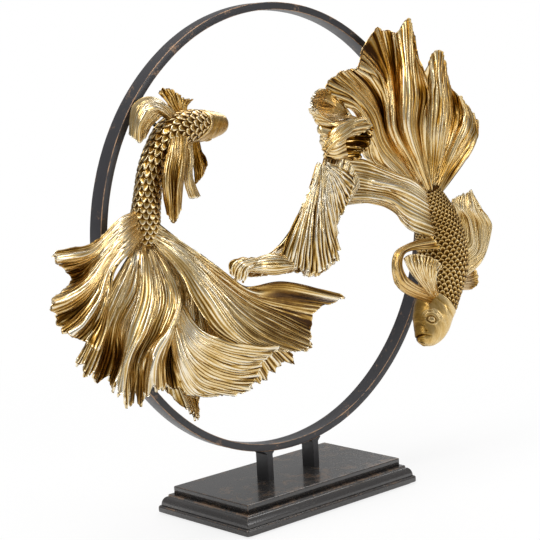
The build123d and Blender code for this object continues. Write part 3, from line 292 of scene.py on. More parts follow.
RIGHT_FRONT_FAN_NET = [
    [(157.6, -32, 12), (103, -34, 47), (82, -34, 59), (78, -36, 79), (62, -43, 99), (40, -49, 108)],
    [(158, -33, 13), (126, -39, 33), (96, -43, 54), (81, -47, 73), (62, -50, 100), (39, -52, 108)],
    [(159, -34, 13), (125, -39, 39), (96, -41, 63), (78, -46, 90), (53, -50, 110), (16, -52, 124)],
    [(160, -35, 13), (131, -37, 43), (106, -37, 70), (91, -40, 97), (66, -44, 117), (39, -46, 135)],
    [(161, -35, 13), (138, -33, 46), (122, -27, 73), (114, -25, 102), (92, -31, 123), (63, -39, 139)],
    [(162, -36, 13), (138, -36, 47), (116, -36, 77), (113, -34, 108), (98, -36, 128), (72, -40, 141)],
    [(163, -36, 13), (139, -37, 48), (118, -37, 78), (117, -34, 109), (118, -28, 133), (94, -27, 160)],
    [(164, -37, 13), (139, -39, 49), (117, -40, 80), (120, -36, 111), (127, -25, 138), (117, -21, 175)],
    [(165, -38, 13), (145, -37, 50), (131, -33, 81), (136, -27, 112), (139, -22, 142), (133, -22, 173)],
    [(166, -38, 13), (147, -39, 50), (131, -40, 81), (132, -39, 112), (139, -33, 143), (141, -28, 171)],
    [(167, -39, 13), (150, -40, 50), (136, -43, 81), (139, -43, 111), (142, -39, 145), (151, -31, 183)],
    [(168, -39, 13), (159, -37, 49), (154, -37, 81), (158, -39, 109), (154, -39, 135), (155, -34, 172)],
    [(169, -40, 13), (163, -39, 48), (158, -43, 81), (160, -47, 107), (156, -47, 122), (152, -43, 139)],
]
RIGHT_BACK_FAN_NET = [
    [(171, -30, 11), (174, -28, 44), (175, -27, 78), (177, -27, 106), (176, -28, 121), (173, -30, 131)],
    [(172, -31, 11), (179, -30, 46), (180, -33, 77), (184, -34, 105), (184, -34, 129), (185, -33, 151)],
    [(173, -32, 11), (186, -30, 43), (191, -33, 73), (196, -33, 99), (196, -31, 124), (203, -28, 148)],
    [(175, -33, 11), (195, -28, 41), (209, -28, 66), (221, -25, 85), (224, -22, 101), (219, -21, 118)],
    [(176, -34, 11), (199, -30, 37), (212, -34, 60), (222, -36, 76), (228, -33, 88), (226, -30, 104)],
    [(177, -35, 11), (204, -28, 32), (225, -30, 51), (239, -30, 63), (249, -27, 72), (249, -24, 88)],
    [(179, -36, 11), (208, -28, 24), (227, -31, 41), (239, -33, 55), (250, -30, 66), (256, -25, 81)],
]
RIGHT_ARM_NET = [
    [(170, -37, 11), (137, -46, 31), (114, -46, 40), (89, -44, 50), (69, -44, 57), (40, -50, 61)],
    [(169, -38, 8), (134, -44, 26), (111, -43, 34), (89, -41, 42), (69, -42, 47), (34, -52, 53)],
    [(169, -39, 2), (127, -47, 21), (102, -49, 29), (81, -47, 34), (63, -46, 39), (27, -54, 44)],
    [(169, -39, -6), (127, -44, 12), (106, -43, 22), (85, -43, 27), (63, -44, 31), (23, -56, 35)],
    [(169, -40, -16), (127, -44, 1), (103, -46, 15), (82, -46, 21), (59, -47, 24), (17, -58, 27)],
    [(170, -40, -28), (131, -41, -14), (114, -40, 3), (92, -40, 13), (62, -44, 18), (14, -59, 19)],
]
RIGHT_SWEEP_NET = [
    [(20, -49, 70), (6, -55, 53), (-14, -59, 32), (-35, -61, 11), (-65, -61, -11), (-103, -55, -14)],
    [(28, -47, 67), (16, -50, 47), (-2, -52, 25), (-23, -53, 2), (-65, -64, -13), (-81, -49, -31)],
    [(34, -49, 63), (18, -55, 42), (-3, -59, 20), (-26, -62, -3), (-55, -65, -17), (-54, -47, -32)],
    [(41, -49, 59), (29, -52, 37), (9, -53, 15), (-9, -52, -9), (-17, -50, -25), (-18, -44, -36)],
    [(47, -50, 55), (30, -56, 33), (6, -61, 12), (-14, -64, -9), (-20, -62, -26), (-21, -58, -38)],
    [(51, -50, 49), (38, -53, 29), (17, -55, 9), (3, -53, -13), (1, -50, -29), (4, -46, -41)],
    [(56, -50, 41), (40, -55, 26), (16, -59, 7), (3, -62, -11), (3, -62, -25), (9, -59, -33)],
    [(58, -49, 33), (46, -50, 23), (28, -50, 12), (21, -52, -5), (21, -53, -19), (23, -53, -27)],
]
RIGHT_SWEEP_LAYER_NET = [
    [(-2, -59, 60), (-18, -64, 39), (-36, -67, 19), (-51, -68, 1), (-60, -67, -17)],
    [(-1, -61, 59), (-15, -65, 39), (-28, -69, 20), (-41, -71, -4), (-47, -68, -28)],
    [(1, -60, 58), (-7, -62, 38), (-16, -64, 17), (-22, -66, -8), (-23, -64, -35)],
    [(2, -60, 58), (-4, -63, 38), (-10, -65, 17), (-14, -67, -8), (-10, -65, -36)],
    [(3, -60, 57), (2, -61, 38), (-1, -63, 17), (1, -64, -6), (9, -62, -31)],
    [(5, -60, 57), (6, -61, 39), (5, -62, 22), (10, -62, 0), (20, -59, -24)],
    [(7, -59, 56), (11, -61, 40), (14, -61, 28), (17, -60, 15), (18, -59, 1)],
    [(8, -59, 57), (17, -60, 45), (24, -60, 34), (29, -59, 26), (34, -59, 20)],
    [(8, -59, 58), (20, -59, 50), (29, -59, 42), (37, -59, 35), (41, -58, 30)],
    [(8, -59, 59), (21, -59, 55), (31, -59, 51), (39, -58, 47), (46, -57, 44)],
]
RIGHT_SWEEP_LEAF_NET = [
    [(-92, -64, -20), (-84, -65, -13), (-68, -66, -11), (-52, -67, -14), (-40, -66, -21)],
    [(-93, -65, -20), (-85, -69, -15), (-70, -70, -14), (-56, -70, -17), (-42, -68, -22)],
    [(-93, -65, -21), (-86, -71, -20), (-72, -73, -21), (-58, -73, -22), (-44, -69, -24)],
    [(-92, -64, -22), (-83, -68, -24), (-68, -69, -28), (-56, -69, -28), (-45, -67, -26)],
]
RIGHT_SWEEP_END_NET = [
    [(-77, -65, -14), (-95, -67, -11), (-107, -67, -10), (-114, -65, -13), (-113, -64, -24)],
    [(-78, -67, -15), (-94, -69, -13), (-106, -70, -14), (-109, -67, -20), (-108, -64, -30)],
    [(-78, -67, -17), (-90, -68, -17), (-98, -68, -19), (-100, -67, -25), (-100, -64, -32)],
    [(-77, -65, -19), (-85, -66, -20), (-90, -66, -20), (-91, -64, -22), (-93, -63, -25)],
]
RIGHT_ROLL_LAYER_NET = [
    [(-7, -71, 71), (-1, -72, 81), (8, -72, 89), (23, -70, 93), (42, -65, 95)],
    [(-6, -72, 71), (2, -73, 79), (14, -73, 86), (32, -69, 91), (57, -62, 94)],
    [(-5, -72, 70), (4, -73, 77), (17, -73, 82), (39, -67, 87), (66, -61, 87)],
    [(-3, -71, 69), (6, -72, 74), (18, -71, 78), (30, -68, 80), (46, -63, 80)],
]
RIGHT_ROLL_NET = [
    [(39, -55, 61), (22, -59, 61), (13, -53, 63), (34, -45, 58), (49, -47, 56), (56, -52, 60)],
    [(29, -62, 73), (15, -64, 70), (11, -55, 70), (38, -43, 65), (56, -44, 64), (67, -53, 64)],
    [(28, -65, 81), (11, -67, 76), (7, -56, 76), (40, -41, 72), (59, -41, 70), (68, -54, 66)],
    [(30, -68, 86), (10, -69, 80), (5, -58, 82), (42, -40, 78), (65, -40, 75), (77, -55, 74)],
    [(39, -68, 90), (12, -69, 85), (3, -58, 88), (42, -40, 84), (67, -40, 82), (71, -55, 79)],
    [(51, -67, 93), (18, -68, 91), (0, -58, 96), (41, -41, 89), (65, -41, 87), (79, -53, 84)],
    [(53, -64, 94), (19, -65, 94), (-8, -58, 107), (29, -45, 96), (56, -46, 92), (67, -52, 92)],
]
RIGHT_CUP_NET = [
    [(48, -52, 98), (47, -47, 105), (42, -47, 111), (29, -49, 119), (11, -55, 123), (-3, -59, 119)],
    [(53, -49, 96), (47, -45, 103), (39, -43, 110), (25, -45, 116), (8, -52, 117), (-6, -59, 115)],
    [(56, -49, 95), (48, -44, 100), (38, -41, 106), (22, -44, 110), (7, -52, 112), (-9, -61, 111)],
    [(57, -52, 94), (45, -49, 98), (31, -47, 102), (16, -50, 105), (2, -56, 108), (-11, -64, 107)],
    [(54, -58, 93), (38, -58, 96), (22, -58, 98), (7, -61, 101), (-4, -64, 105), (-12, -67, 106)],
    [(53, -64, 93), (33, -67, 95), (15, -68, 94), (1, -70, 97), (-8, -70, 102), (-13, -70, 107)],
]
RIGHT_DORSAL_NET = [
    [(183, -37, -3), (193, -42, -4), (192, -44, 2), (190, -44, 6), (192, -44, 10)],
    [(186, -40, -17), (200, -44, -18), (197, -45, -5), (193, -45, 4), (197, -45, 11)],
    [(190, -41, -31), (206, -47, -30), (206, -46, -11), (198, -46, 0), (203, -44, 13)],
    [(192, -43, -45), (210, -50, -38), (209, -50, -15), (203, -48, -2), (206, -47, 14)],
    [(193, -43, -55), (213, -51, -43), (217, -50, -18), (209, -49, -2), (212, -46, 14)],
    [(191, -44, -62), (218, -53, -46), (223, -54, -21), (215, -52, -4), (212, -49, 16)],
    [(190, -44, -69), (222, -54, -47), (231, -54, -23), (224, -53, -8), (216, -47, 14)],
    [(187, -44, -73), (218, -53, -57), (232, -56, -29), (233, -55, -16), (218, -52, -1)],
]
RIGHT_FAR_PECTORAL_NET = [
    [(197, -39, -68), (246, -18, -71), (256, -16, -70)],
    [(197, -39, -72), (244, -19, -77), (255, -19, -76)],
    [(197, -39, -76), (245, -18, -83), (258, -16, -85)],
    [(195, -39, -80), (239, -19, -88), (247, -18, -88)],
]
RIGHT_CURLING_NET = [
    [(162, -40, -90), (100, -58, -67), (85, -61, -50), (90, -59, -31), (112, -56, -25), (147, -55, -22)],
    [(162, -42, -85), (102, -62, -63), (84, -67, -48), (88, -65, -33), (107, -62, -26), (148, -59, -26)],
    [(164, -40, -80), (114, -59, -61), (100, -62, -50), (98, -61, -38), (111, -59, -31), (155, -58, -34)],
]
RIGHT_PECTORAL_NET = [
    [(156, -44, -82), (113, -59, -53), (102, -59, -36)],
    [(158, -44, -83), (114, -62, -51), (106, -62, -33)],
    [(159, -44, -83), (120, -61, -51), (116, -61, -34)],
    [(161, -44, -83), (125, -62, -52), (123, -62, -35)],
    [(162, -44, -83), (131, -61, -53), (133, -61, -38)],
    [(164, -44, -84), (137, -61, -55), (141, -61, -41)],
    [(166, -44, -84), (143, -59, -58), (150, -59, -45)],
    [(167, -44, -84), (148, -57, -61), (159, -56, -52)],
]

# Stations of the bodies from the nose to the tail: the place, the half height across the
# flank and the half thickness through it, in shares of the ring's radius
LEFT_BODY_SHARES = [
    (-0.315, -0.05, 0.49, 0.015, 0.015),
    (-0.34, -0.055, 0.49, 0.041, 0.044),
    (-0.395, -0.06, 0.49, 0.057, 0.063),
    (-0.465, -0.065, 0.49, 0.065, 0.078),
    (-0.55, -0.075, 0.49, 0.069, 0.085),
    (-0.635, -0.08, 0.47, 0.068, 0.089),
    (-0.71, -0.09, 0.41, 0.059, 0.085),
    (-0.765, -0.095, 0.325, 0.055, 0.078),
    (-0.795, -0.095, 0.21, 0.057, 0.07),
    (-0.81, -0.095, 0.125, 0.061, 0.059),
    (-0.805, -0.095, 0.03, 0.053, 0.045),
]
RIGHT_BODY_SHARES = [
    (0.735, -0.195, -0.64, 0.019, 0.015),
    (0.75, -0.195, -0.615, 0.052, 0.041),
    (0.795, -0.19, -0.56, 0.086, 0.067),
    (0.83, -0.185, -0.49, 0.098, 0.078),
    (0.88, -0.18, -0.4, 0.103, 0.085),
    (0.925, -0.18, -0.29, 0.113, 0.085),
    (0.915, -0.175, -0.175, 0.12, 0.081),
    (0.895, -0.17, -0.075, 0.11, 0.074),
    (0.855, -0.17, 0.025, 0.086, 0.062),
    (0.83, -0.17, 0.095, 0.062, 0.05),
]


# Gilded sheets: tails and fins

# Points along a ray before its tip is cut back, and how many random shares the teeth use
FINE_STEPS, TICKETS = 160, 4096
# How far pleats and ribs stray sideways, in their own pitch
PLEAT_STRAY, RIB_STRAY = 0.22, 0.16
# The level of a crest that leaves the sheet where it is
CREST_LEVEL = 0.6
# Further than any point of a sheet, in metres
FAR_AWAY = 9.0


def ray_grid(net, places, columns):
    """Points of a net's smooth surface: each ray at its place, in even steps to its tip."""
    rays = cubic_weights(len(net), places)
    steps = cubic_weights(net.shape[1], np.linspace(0, 1, columns))
    return np.einsum("ar,bs,rsk->abk", rays, steps, net)


def even_places(net, count):
    """Even places across a net at 0.7 of the rays' length, and the net's width there."""
    trial = np.linspace(0, 1, 400)
    line = np.einsum(
        "ar,bs,rsk->abk", cubic_weights(len(net), trial), cubic_weights(net.shape[1], [0.7]), net
    )[:, 0]
    walked = np.concatenate([[0], np.cumsum(np.linalg.norm(np.diff(line, axis=0), axis=1))])
    return np.interp(np.linspace(0, 1, count), walked / walked[-1], trial), walked[-1]


def along_rays(points, reach):
    """Grid read again at new places along its rays, in shares of their length."""
    last = points.shape[1] - 1
    at = np.clip(reach, 0, 1) * last
    low = np.minimum(at.astype(int), last - 1)
    share = (at - low)[..., None]
    rows = np.arange(len(points))[:, None]
    return points[rows, low] * (1 - share) + points[rows, low + 1] * share


def fold_field(across, steps, size, folds, seed):
    """Height and painted light and shade that long folds add to a sheet.

    A fold is a bent line in shares across and along the sheet, then its rise, its run on
    the near side and its drop on the far side in mm, and how much painted light its crest
    takes, where a negative amount paints shade.
    It grows from nothing at the line's first end.
    """
    height = light = 0 * across * steps
    x, y = across * size[0], steps * size[1]
    for number, (line, rise, run, drop, crest_painted_light) in enumerate(folds):
        bends = np.array(line) * size
        nearest = np.full(height.shape, FAR_AWAY)
        side, walked = np.zeros(height.shape), np.zeros(height.shape)
        for k, (start, end) in enumerate(zip(bends, bends[1:])):
            way = end - start
            share = np.clip(((x - start[0]) * way[0] + (y - start[1]) * way[1]) / (way @ way), 0, 1)
            away = np.hypot(x - start[0] - share * way[0], y - start[1] - share * way[1])
            turn = np.sign(way[0] * (y - start[1]) - way[1] * (x - start[0]))
            nearer = away < nearest
            nearest = np.where(nearer, away, nearest)
            side = np.where(nearer, turn, side)
            walked = np.where(nearer, (k + share) / (len(bends) - 1), walked)
        past = nearest * side + 1.1 * MM * ripple(seed + number, across * 4, steps * 3)
        fade = smooth_step(0, 0.3, walked)
        profile = hump(past, 0, np.where(past < 0, run * MM, drop * MM))
        height = height + rise * MM * fade * profile
        # Painted light along the fold's crest; a negative amount paints shade.
        light = light + fade * crest_painted_light * profile ** 2
    return height, light


def gilded_sheet(
    name, node, rows, seed, material, pleat_pitch=13, pleat_height=2.6, rib_pitch=3.6, rib_height=0.7,
    tooth=7, thickness=3.2, crinkle=1.2, per_rib=5, columns=90, contrast=1.0,
    painted_light=((0, 1), (0, 0)), painted_light_across=((0, 1), (0, 0)), calm=((0, 1), (0, 0)), folds=(),
):
    """Pleated, ribbed and toothed sheet over a net of fin rays, with its lengths in mm.

    Pleats are broad round crests with narrow valleys that run with the rays, ribs are
    finer ones on top, and both grow from the root to the tip. The tips are cut back in
    the valleys, which leaves teeth at the crests. The two faces stand off the middle
    by half the thickness, thinner towards the tip, with a small bead along the hem. tone
    paints light and shade along the rays, painted_light_across paints them across, and calm smooths
    the sheet across. The crests and the last millimetres before the hem are painted
    lighter and the hollows darker, as painted highlights and painted shade.
    """
    net = np.array(rows) / NET_STEPS * RING_RADIUS + RING_CENTRE
    width = even_places(net, 2)[1]
    ribs = max(4, round(width / (rib_pitch * MM)))
    pleats = max(2, round(width / (pleat_pitch * MM)))
    places = even_places(net, ribs * per_rib + 1)[0]
    across = np.linspace(0, 1, len(places))[:, None]
    fine = ray_grid(net, places, FINE_STEPS)
    length = np.linalg.norm(np.diff(fine, axis=1), axis=2).sum(1)[:, None]

    def phases(steps):
        """Pleats and ribs counted across the sheet, with a drift along the rays."""
        pleat_drift = PLEAT_STRAY * ripple(seed, across * pleats / 5, steps * 0.8)
        rib_drift = RIB_STRAY * ripple(seed + 1, across * pleats / 3, steps * 0.8)
        return across * pleats + pleat_drift, across * ribs + rib_drift

    steps = np.linspace(0, 1, columns)[None, :]
    pleat_phase, rib_phase = phases(steps)
    lottery = np.random.default_rng(seed + 2).uniform(0.35, 1.0, TICKETS)
    tip_pleat, tip_rib = phases(np.ones((1, 1)))
    pleat_luck = lottery[tip_pleat.astype(int) % TICKETS]
    rib_luck = lottery[(tip_rib.astype(int) * 7 + 3) % TICKETS]
    notch = np.abs(2 * (tip_pleat % 1) - 1) * pleat_luck
    notch = notch + 0.18 * (1 - crest(tip_rib, 1.2)) * rib_luck
    notch = notch + 0.5 * (0.5 + 0.5 * ripple(seed + 3, across * pleats / 2))
    surface = along_rays(fine, steps * (1 - notch * tooth * MM / length))

    outer = smooth_step(0.3, 0.6, steps)
    still = 1 - np.interp(across, *calm) * outer
    grow = (0.25 + 0.75 * smooth_step(0.02, 0.55, steps)) * still
    uneven = 0.65 + 0.35 * ripple(seed + 4, across * pleats / 4, steps)
    pleat = crest(pleat_phase, 0.75) - CREST_LEVEL
    rib = crest(rib_phase, 0.7) - CREST_LEVEL
    line_phase = rib_phase * 2 + 0.35 * ripple(seed + 5, across * ribs / 6, steps * 0.7)
    line = crest(line_phase, 0.9) - CREST_LEVEL
    height = pleat * pleat_height * grow * uneven + rib * rib_height * (0.45 + 0.55 * grow) * still
    height = height + line * rib_height * 0.3 * still
    folded, fold_painted_light = fold_field(across, steps, (width, length.mean()), folds, seed + 8)
    hem = smooth_step(0.8, 1, steps)
    height = height + crinkle * hem * ripple(seed + 6, across * pleats * 0.9, steps * 0.7)
    surface = surface + normals_of(surface) * (height * MM + folded)[..., None]
    normals = normals_of(surface)

    half = thickness * MM / 2 * (1 - 0.5 * smooth_step(0.1, 0.9, steps))
    half = half + 0.35 * MM * smooth_step(1 - 2.2 * MM / length, 1 - 0.8 * MM / length, steps)
    half = np.broadcast_to(half, height.shape)[..., None]
    front, back = surface + normals * half, surface - normals * half

    line_share = min(0.35, 1.2 / rib_pitch)
    # Painted light and shade: lighter where the sheet stands above its surroundings and on the rib crests,
    # darker in the hollows.
    near, far = swell(surface, normals, 2), swell(surface, normals, 7)
    painted_relief_light = near / (0.16 * MM) * 0.25 + far / (0.9 * MM) * 0.4 + (rib * 0.75 + line * line_share) * still
    # The last millimetres before the hem are painted lighter, a painted highlight, and the tone settings add
    # painted light and shade along and across the sheet.
    edge = smooth_step(1 - 3 * MM / length, 1 - MM / length, steps)
    painted_light_total = np.interp(steps, *painted_light) + np.interp(across, *painted_light_across) * outer + 0.4 * edge
    front_painted_light = np.clip(0.5 + 0.5 * contrast * painted_relief_light + painted_light_total + fold_painted_light, 0, 1)
    back_painted_light = np.clip(0.5 - 0.5 * contrast * painted_relief_light + painted_light_total, 0, 1)

    count, wide = height.shape
    faces = [
        grid_faces(count, wide),
        grid_faces(count, wide, start=count * wide)[:, ::-1],
    ]
    numbers = np.arange(count * wide).reshape(count, wide)
    for rim in (numbers[0, ::-1], numbers[-1], numbers[:, 0], numbers[::-1, -1]):
        other = rim + count * wide
        faces.append(np.stack([rim[:-1], rim[1:], other[1:], other[:-1]], -1))
    points = np.concatenate([front.reshape(-1, 3), back.reshape(-1, 3)])
    attributes = {
        "painted_relief_light": np.concatenate([front_painted_light.ravel(), back_painted_light.ravel()]),
        "reach": np.tile((steps * length / (10 * MM)).ravel(), 2),
        "line": np.tile((rib_phase + seed * 10).ravel(), 2),
    }
    piece = make_piece(name, points, np.concatenate(faces), attributes, material)
    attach(piece, "root")
    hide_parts(node)


# Fish bodies

def scale_field(rows, columns):
    """Height and painted light and shade of overlapping round scales, each from 0 to 1.

    rows counts scales from the head to the tail and columns counts them round the body,
    every second row half a scale on. A scale starts at its row, is covered by the row
    nearer the head and ends in a raised round rim past the next row. The shade paints the
    raised rims lighter and the dishes and the gaps past the rims darker, as painted light
    and shade.
    """
    row = np.floor(rows)
    best = np.full_like(rows, 0.1)
    shade = np.full_like(rows, 0.1)
    for number in (row + 1, row, row - 1):
        across = (columns + 0.5 * (number % 2)) % 1 - 0.5
        down = np.clip(rows - number, 0, 2)
        place = np.hypot(across / 0.53, down / 1.5)
        slope = np.clip(down / 1.5, 0, 1)
        rim = hump(place, 0.86, 0.12) * smooth_step(0.1, 0.5, down)
        dish = hump(place, 0, 0.5)
        inner = hump(place, 0.56, 0.09) * smooth_step(0.2, 0.6, down)
        height = 0.2 + 0.42 * slope ** 1.3 + 0.36 * rim + 0.08 * inner - 0.08 * dish
        # Painted highlight on the rim and painted shade in the dish.
        painted_light = 0.36 + 0.1 * slope + 0.52 * rim + 0.16 * inner - 0.08 * dish
        # The gap past a rim is painted darker, as painted shade.
        gap = hump(np.clip(place - 1, 0, 9), 0, 0.1)
        best = np.where(place < 1, height, best * (1 - 0.8 * gap))
        shade = np.where(place < 1, painted_light, shade * (1 - 0.9 * gap))
    return best, shade


def turn_between(angle, middle):
    """Angle from the middle one, between minus and plus half a turn."""
    return (angle - middle + math.pi) % (2 * math.pi) - math.pi


# Points round a body and along it, and the way that its flank faces
AROUND, ALONG = 300, 325
FLANK = np.array([-0.67, -0.73, 0.14])


def fish_body(name, node, stations, seed, gill, scale_count, row_pitches, scale_height,
              eye, mouth, finish, head_painted_light):
    """Fish body: ellipses on a smooth spine, raised and sunk along the surface normal.

    Scales cover it from the gill edge to the tail. The head is smooth but for the gill
    cover's raised edge, an eye in a ring on each flank, a mouth slit and a nostril. The
    gill edge lies at gill[0] + gill[1] cos(angle) + gill[2] cos(2 angle) from the nose.
    The stations are in shares of the ring's radius, all other lengths in mm. The gilt's
    colour follows painted light and shade: lighter on the scale rims, raised edges, eyes,
    brows and lips, darker in the gaps, grooves, dents, pupils and the mouth slit, and the
    head setting paints the bare head lighter, more on one side.
    """
    table = np.array(stations) * RING_RADIUS
    weights = cubic_weights(len(table), np.linspace(0, 1, ALONG))
    spine = weights @ table[:, :3] + RING_CENTRE
    half_height = (weights @ table[:, 3])[None, :, None]
    half_thickness = (weights @ table[:, 4])[None, :, None]
    run = unit(np.gradient(spine, axis=0))
    up = unit(np.cross(run, FLANK))
    through = unit(np.cross(run, up))
    turn = np.linspace(0, 2 * math.pi, AROUND, endpoint=False)[:, None, None]
    walked = np.concatenate([[0], np.cumsum(np.linalg.norm(np.diff(spine, axis=0), axis=1))])
    nose = np.sqrt(np.clip(1 - (1 - np.clip(walked / (7 * MM), 0, 1)) ** 2, 0.0004, 1))[None, :, None]
    points = spine[None] + up[None] * half_height * nose * np.cos(turn)
    points = points + through[None] * half_thickness * nose * np.sin(turn)
    normals = -normals_of(points, closed=True)
    normals = normals * np.sign(np.sum(normals * (points - spine[None]), -1, keepdims=True))

    along = walked[None, :] / MM * np.ones((AROUND, 1))
    angle = turn[..., 0] * np.ones_like(along)
    past = along - gill[0] - gill[1] * np.cos(angle) - gill[2] * np.cos(2 * angle)
    pitch = np.interp(along, np.linspace(0, along[0, -1], len(row_pitches)), row_pitches)
    rows = np.cumsum(np.gradient(along, axis=1) / pitch, axis=1)
    wander = 0.12 * ripple(seed, along / 40, np.cos(angle))
    scales, shade = scale_field(rows + wander, angle / (2 * math.pi) * scale_count + 0.1 * wander)
    cover = smooth_step(0, 2, past)
    height = (scales - 0.35) * scale_height * cover * pitch / max(row_pitches)
    # The scales' painted light and shade.
    painted_relief_light = 0.5 + (shade - 0.5) * 1.7 * cover

    lid = hump(past, 0, 4.5) * (past < 0)
    height = height + lid - 0.6 * hump(past, 0, 0.9)
    # Painted highlight on the gill cover's raised edge, painted shade in the groove under it and on the
    # cheek.
    painted_relief_light = painted_relief_light + 0.3 * lid - 0.6 * hump(past, 0.4, 0.8)
    cheek = hump(past + 9 + 2 * np.cos(angle), 0, 1.2)
    height = height - 0.3 * cheek
    painted_relief_light = painted_relief_light - 0.16 * cheek

    eye_at, eye_turns, eye_radius = eye
    arc = (half_thickness[..., 0] + half_height[..., 0]) / 2 / MM
    for side, eye_turn in zip((1, -1), eye_turns):
        away = turn_between(angle, eye_turn)
        distance = np.hypot(along - eye_at, away * arc)
        share = distance / eye_radius
        ball = np.sqrt(np.clip(1 - share ** 2, 0, 1))
        groove = hump(share, 1.12, 0.18)
        lobe = 0.65 + 0.35 * np.cos(3 * np.arctan2(away * arc, along - eye_at) + seed)
        ring = hump(share, 1.5, 0.24) * lobe
        pupil = np.exp(-(share / 0.3) ** 4)
        height = height + 0.42 * eye_radius * ball - 0.4 * groove + 0.5 * ring - 0.2 * pupil
        # Painted highlight on the eyeball and its ring, painted shade in the groove round it and in the
        # pupil.
        painted_relief_light = painted_relief_light + 0.22 * ball - 0.4 * groove + 0.2 * ring - 0.2 * pupil
        above = smooth_step(-0.2, 0.7, (along - eye_at) / np.maximum(distance, 0.1))
        # The brows above the eye are painted lighter, a painted highlight.
        for middle, strength in ((2.1, 0.9), (2.75, 0.7)):
            brow = hump(share, middle, 0.2) * above * strength
            height = height + brow
            painted_relief_light = painted_relief_light + 0.3 * brow
        nostril = np.hypot(along - eye_at * 0.45, (away + side * 0.15) * arc)
        dent = hump(nostril, 0, 0.24 * eye_radius)
        height = height - 0.5 * dent
        # The nostril's dent is painted darker, as painted shade.
        painted_relief_light = painted_relief_light - 0.4 * dent

    mouth_turn, mouth_reach = mouth
    gape = np.abs(turn_between(angle, mouth_turn))
    lips = hump(along, 3, 1.3)
    slit = hump(along, 5 + mouth_reach * gape, 0.9) * smooth_step(1.9, 1.1, gape)
    skin = ripple(seed + 1, along / 14, np.cos(angle) * 0.9, np.sin(angle) * 0.9)
    height = height + 0.5 * lips - 1.1 * slit + 0.15 * skin * (1 - cover)
    grit = ripple(seed + 2, along / 5, np.cos(angle) * 3, np.sin(angle) * 3)
    # Painted light on the bare head, more on one side; the lips are painted lighter and the mouth slit
    # darker, as painted light and shade.
    light = head_painted_light[0] + head_painted_light[1] * np.cos(angle) + 0.03 * grit
    painted_relief_light = painted_relief_light + 0.1 * lips - 0.6 * slit + 0.05 * skin + light * (1 - cover)

    points = points + normals * MM * height[..., None]
    faces = grid_faces(AROUND, ALONG, close_rows=True)
    attributes = {"painted_relief_light": np.clip(painted_relief_light, 0, 1)}
    piece = make_piece(name, points.reshape(-1, 3), faces, attributes, finish, end_caps(AROUND, ALONG))
    outward(piece)
    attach(piece, "root")
    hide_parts(node)


def outward(piece):
    """Turns a closed mesh's faces outward if the volume that they enclose is negative."""
    mesh = piece.data
    mesh.calc_loop_triangles()
    corners = np.empty(len(mesh.loop_triangles) * 3, np.int32)
    mesh.loop_triangles.foreach_get("vertices", corners)
    points = np.empty(len(mesh.vertices) * 3)
    mesh.vertices.foreach_get("co", points)
    points = points.reshape(-1, 3)
    points = points - points.mean(0)
    a, b, c = points[corners.reshape(-1, 3)].transpose(1, 0, 2)
    if np.sum(a * np.cross(b, c)) < 0:
        mesh.flip_normals()


# Ring and plinth

def swept_ring(name, node, material):
    """Rolled bar: a rectangle with rounded corners carried round the ring's centre.

    Its edge attribute is 1 on the rounded corners, where the paint draws a thin
    copper-brown line. The radius and the faces waver by fractions of a millimetre, as a
    bar rolled and dressed by hand does.
    """
    bar, depth, round_off, steps = 9 * MM, RING_HIGH[1] - RING_LOW[1], 0.9 * MM, 720
    corners, edge_line = [], []
    for across, back, start in ((1, 1, 0), (-1, 1, 1), (-1, -1, 2), (1, -1, 3)):
        for k in range(5):
            way = (start + k / 4) * math.pi / 2
            x = across * (bar / 2 - round_off) + round_off * math.cos(way)
            y = back * (depth / 2 - round_off) + round_off * math.sin(way)
            corners.append((x, y))
            edge_line.append(1.0 if 0 < k < 4 else 0.55)
    profile = np.array(corners)
    turns = np.linspace(0, 2 * math.pi, steps, endpoint=False)[:, None]
    waver = 0.12 * MM * ripple(5, np.cos(turns), np.sin(turns))
    radius = RING_RADIUS - bar / 2 + profile[None, :, 0] + waver
    points = np.stack([
        radius * np.cos(turns) + RING_CENTRE[0],
        np.broadcast_to(profile[None, :, 1] + RING_CENTRE[1], radius.shape),
        radius * np.sin(turns) + RING_CENTRE[2],
    ], -1)
    faces = grid_faces(steps, len(profile), close_rows=True, close_columns=True)
    edge = np.broadcast_to(np.array(edge_line)[None], radius.shape)
    piece = make_piece(name, points.reshape(-1, 3), faces, {"edge_line": edge}, material)
    outward(piece)
    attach(piece, "root")
    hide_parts(node)


def plinth_tier(name, node, profile, edge_line, corner_radius, material):
    """Tier of the plinth: a profile of (outset, height) carried round a rectangle.

    The rectangle grows with the outset, so the corners stay mitred, with a small
    rounding. The first and last profile points are closed with flat caps.
    """
    low, high = [np.array(corner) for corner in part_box(node)]
    half, centre = (high - low) / 2, (high + low) / 2
    outset, height = np.array(profile, float).T
    outset = outset - outset.max()
    fan = np.linspace(0, math.pi / 2, 7)
    ways = np.concatenate([fan + quarter * math.pi / 2 for quarter in range(4)])[:, None]
    sign_x = np.repeat([1, -1, -1, 1], 7)[:, None]
    sign_y = np.repeat([1, 1, -1, -1], 7)[:, None]
    x = sign_x * (half[0] + outset - corner_radius) + corner_radius * np.cos(ways)
    y = sign_y * (half[1] + outset - corner_radius) + corner_radius * np.sin(ways)
    z = np.broadcast_to(height * (high[2] - low[2]) + low[2], x.shape)
    points = np.stack([x + centre[0], y + centre[1], z], -1)
    faces = grid_faces(*x.shape, close_rows=True)
    on_corner = np.tile([0.2, 0.9, 1, 1, 1, 0.9, 0.2], 4)[:, None]
    edge = np.maximum(edge_line, 0.8 * on_corner)
    caps = end_caps(*x.shape)
    piece = make_piece(name, points.reshape(-1, 3), faces, {"edge_line": edge}, material, caps)
    smooth = [len(face.vertices) == 4 for face in piece.data.polygons]
    piece.data.polygons.foreach_set("use_smooth", smooth)
    outward(piece)
    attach(piece, "root")
    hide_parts(node)


# Materials

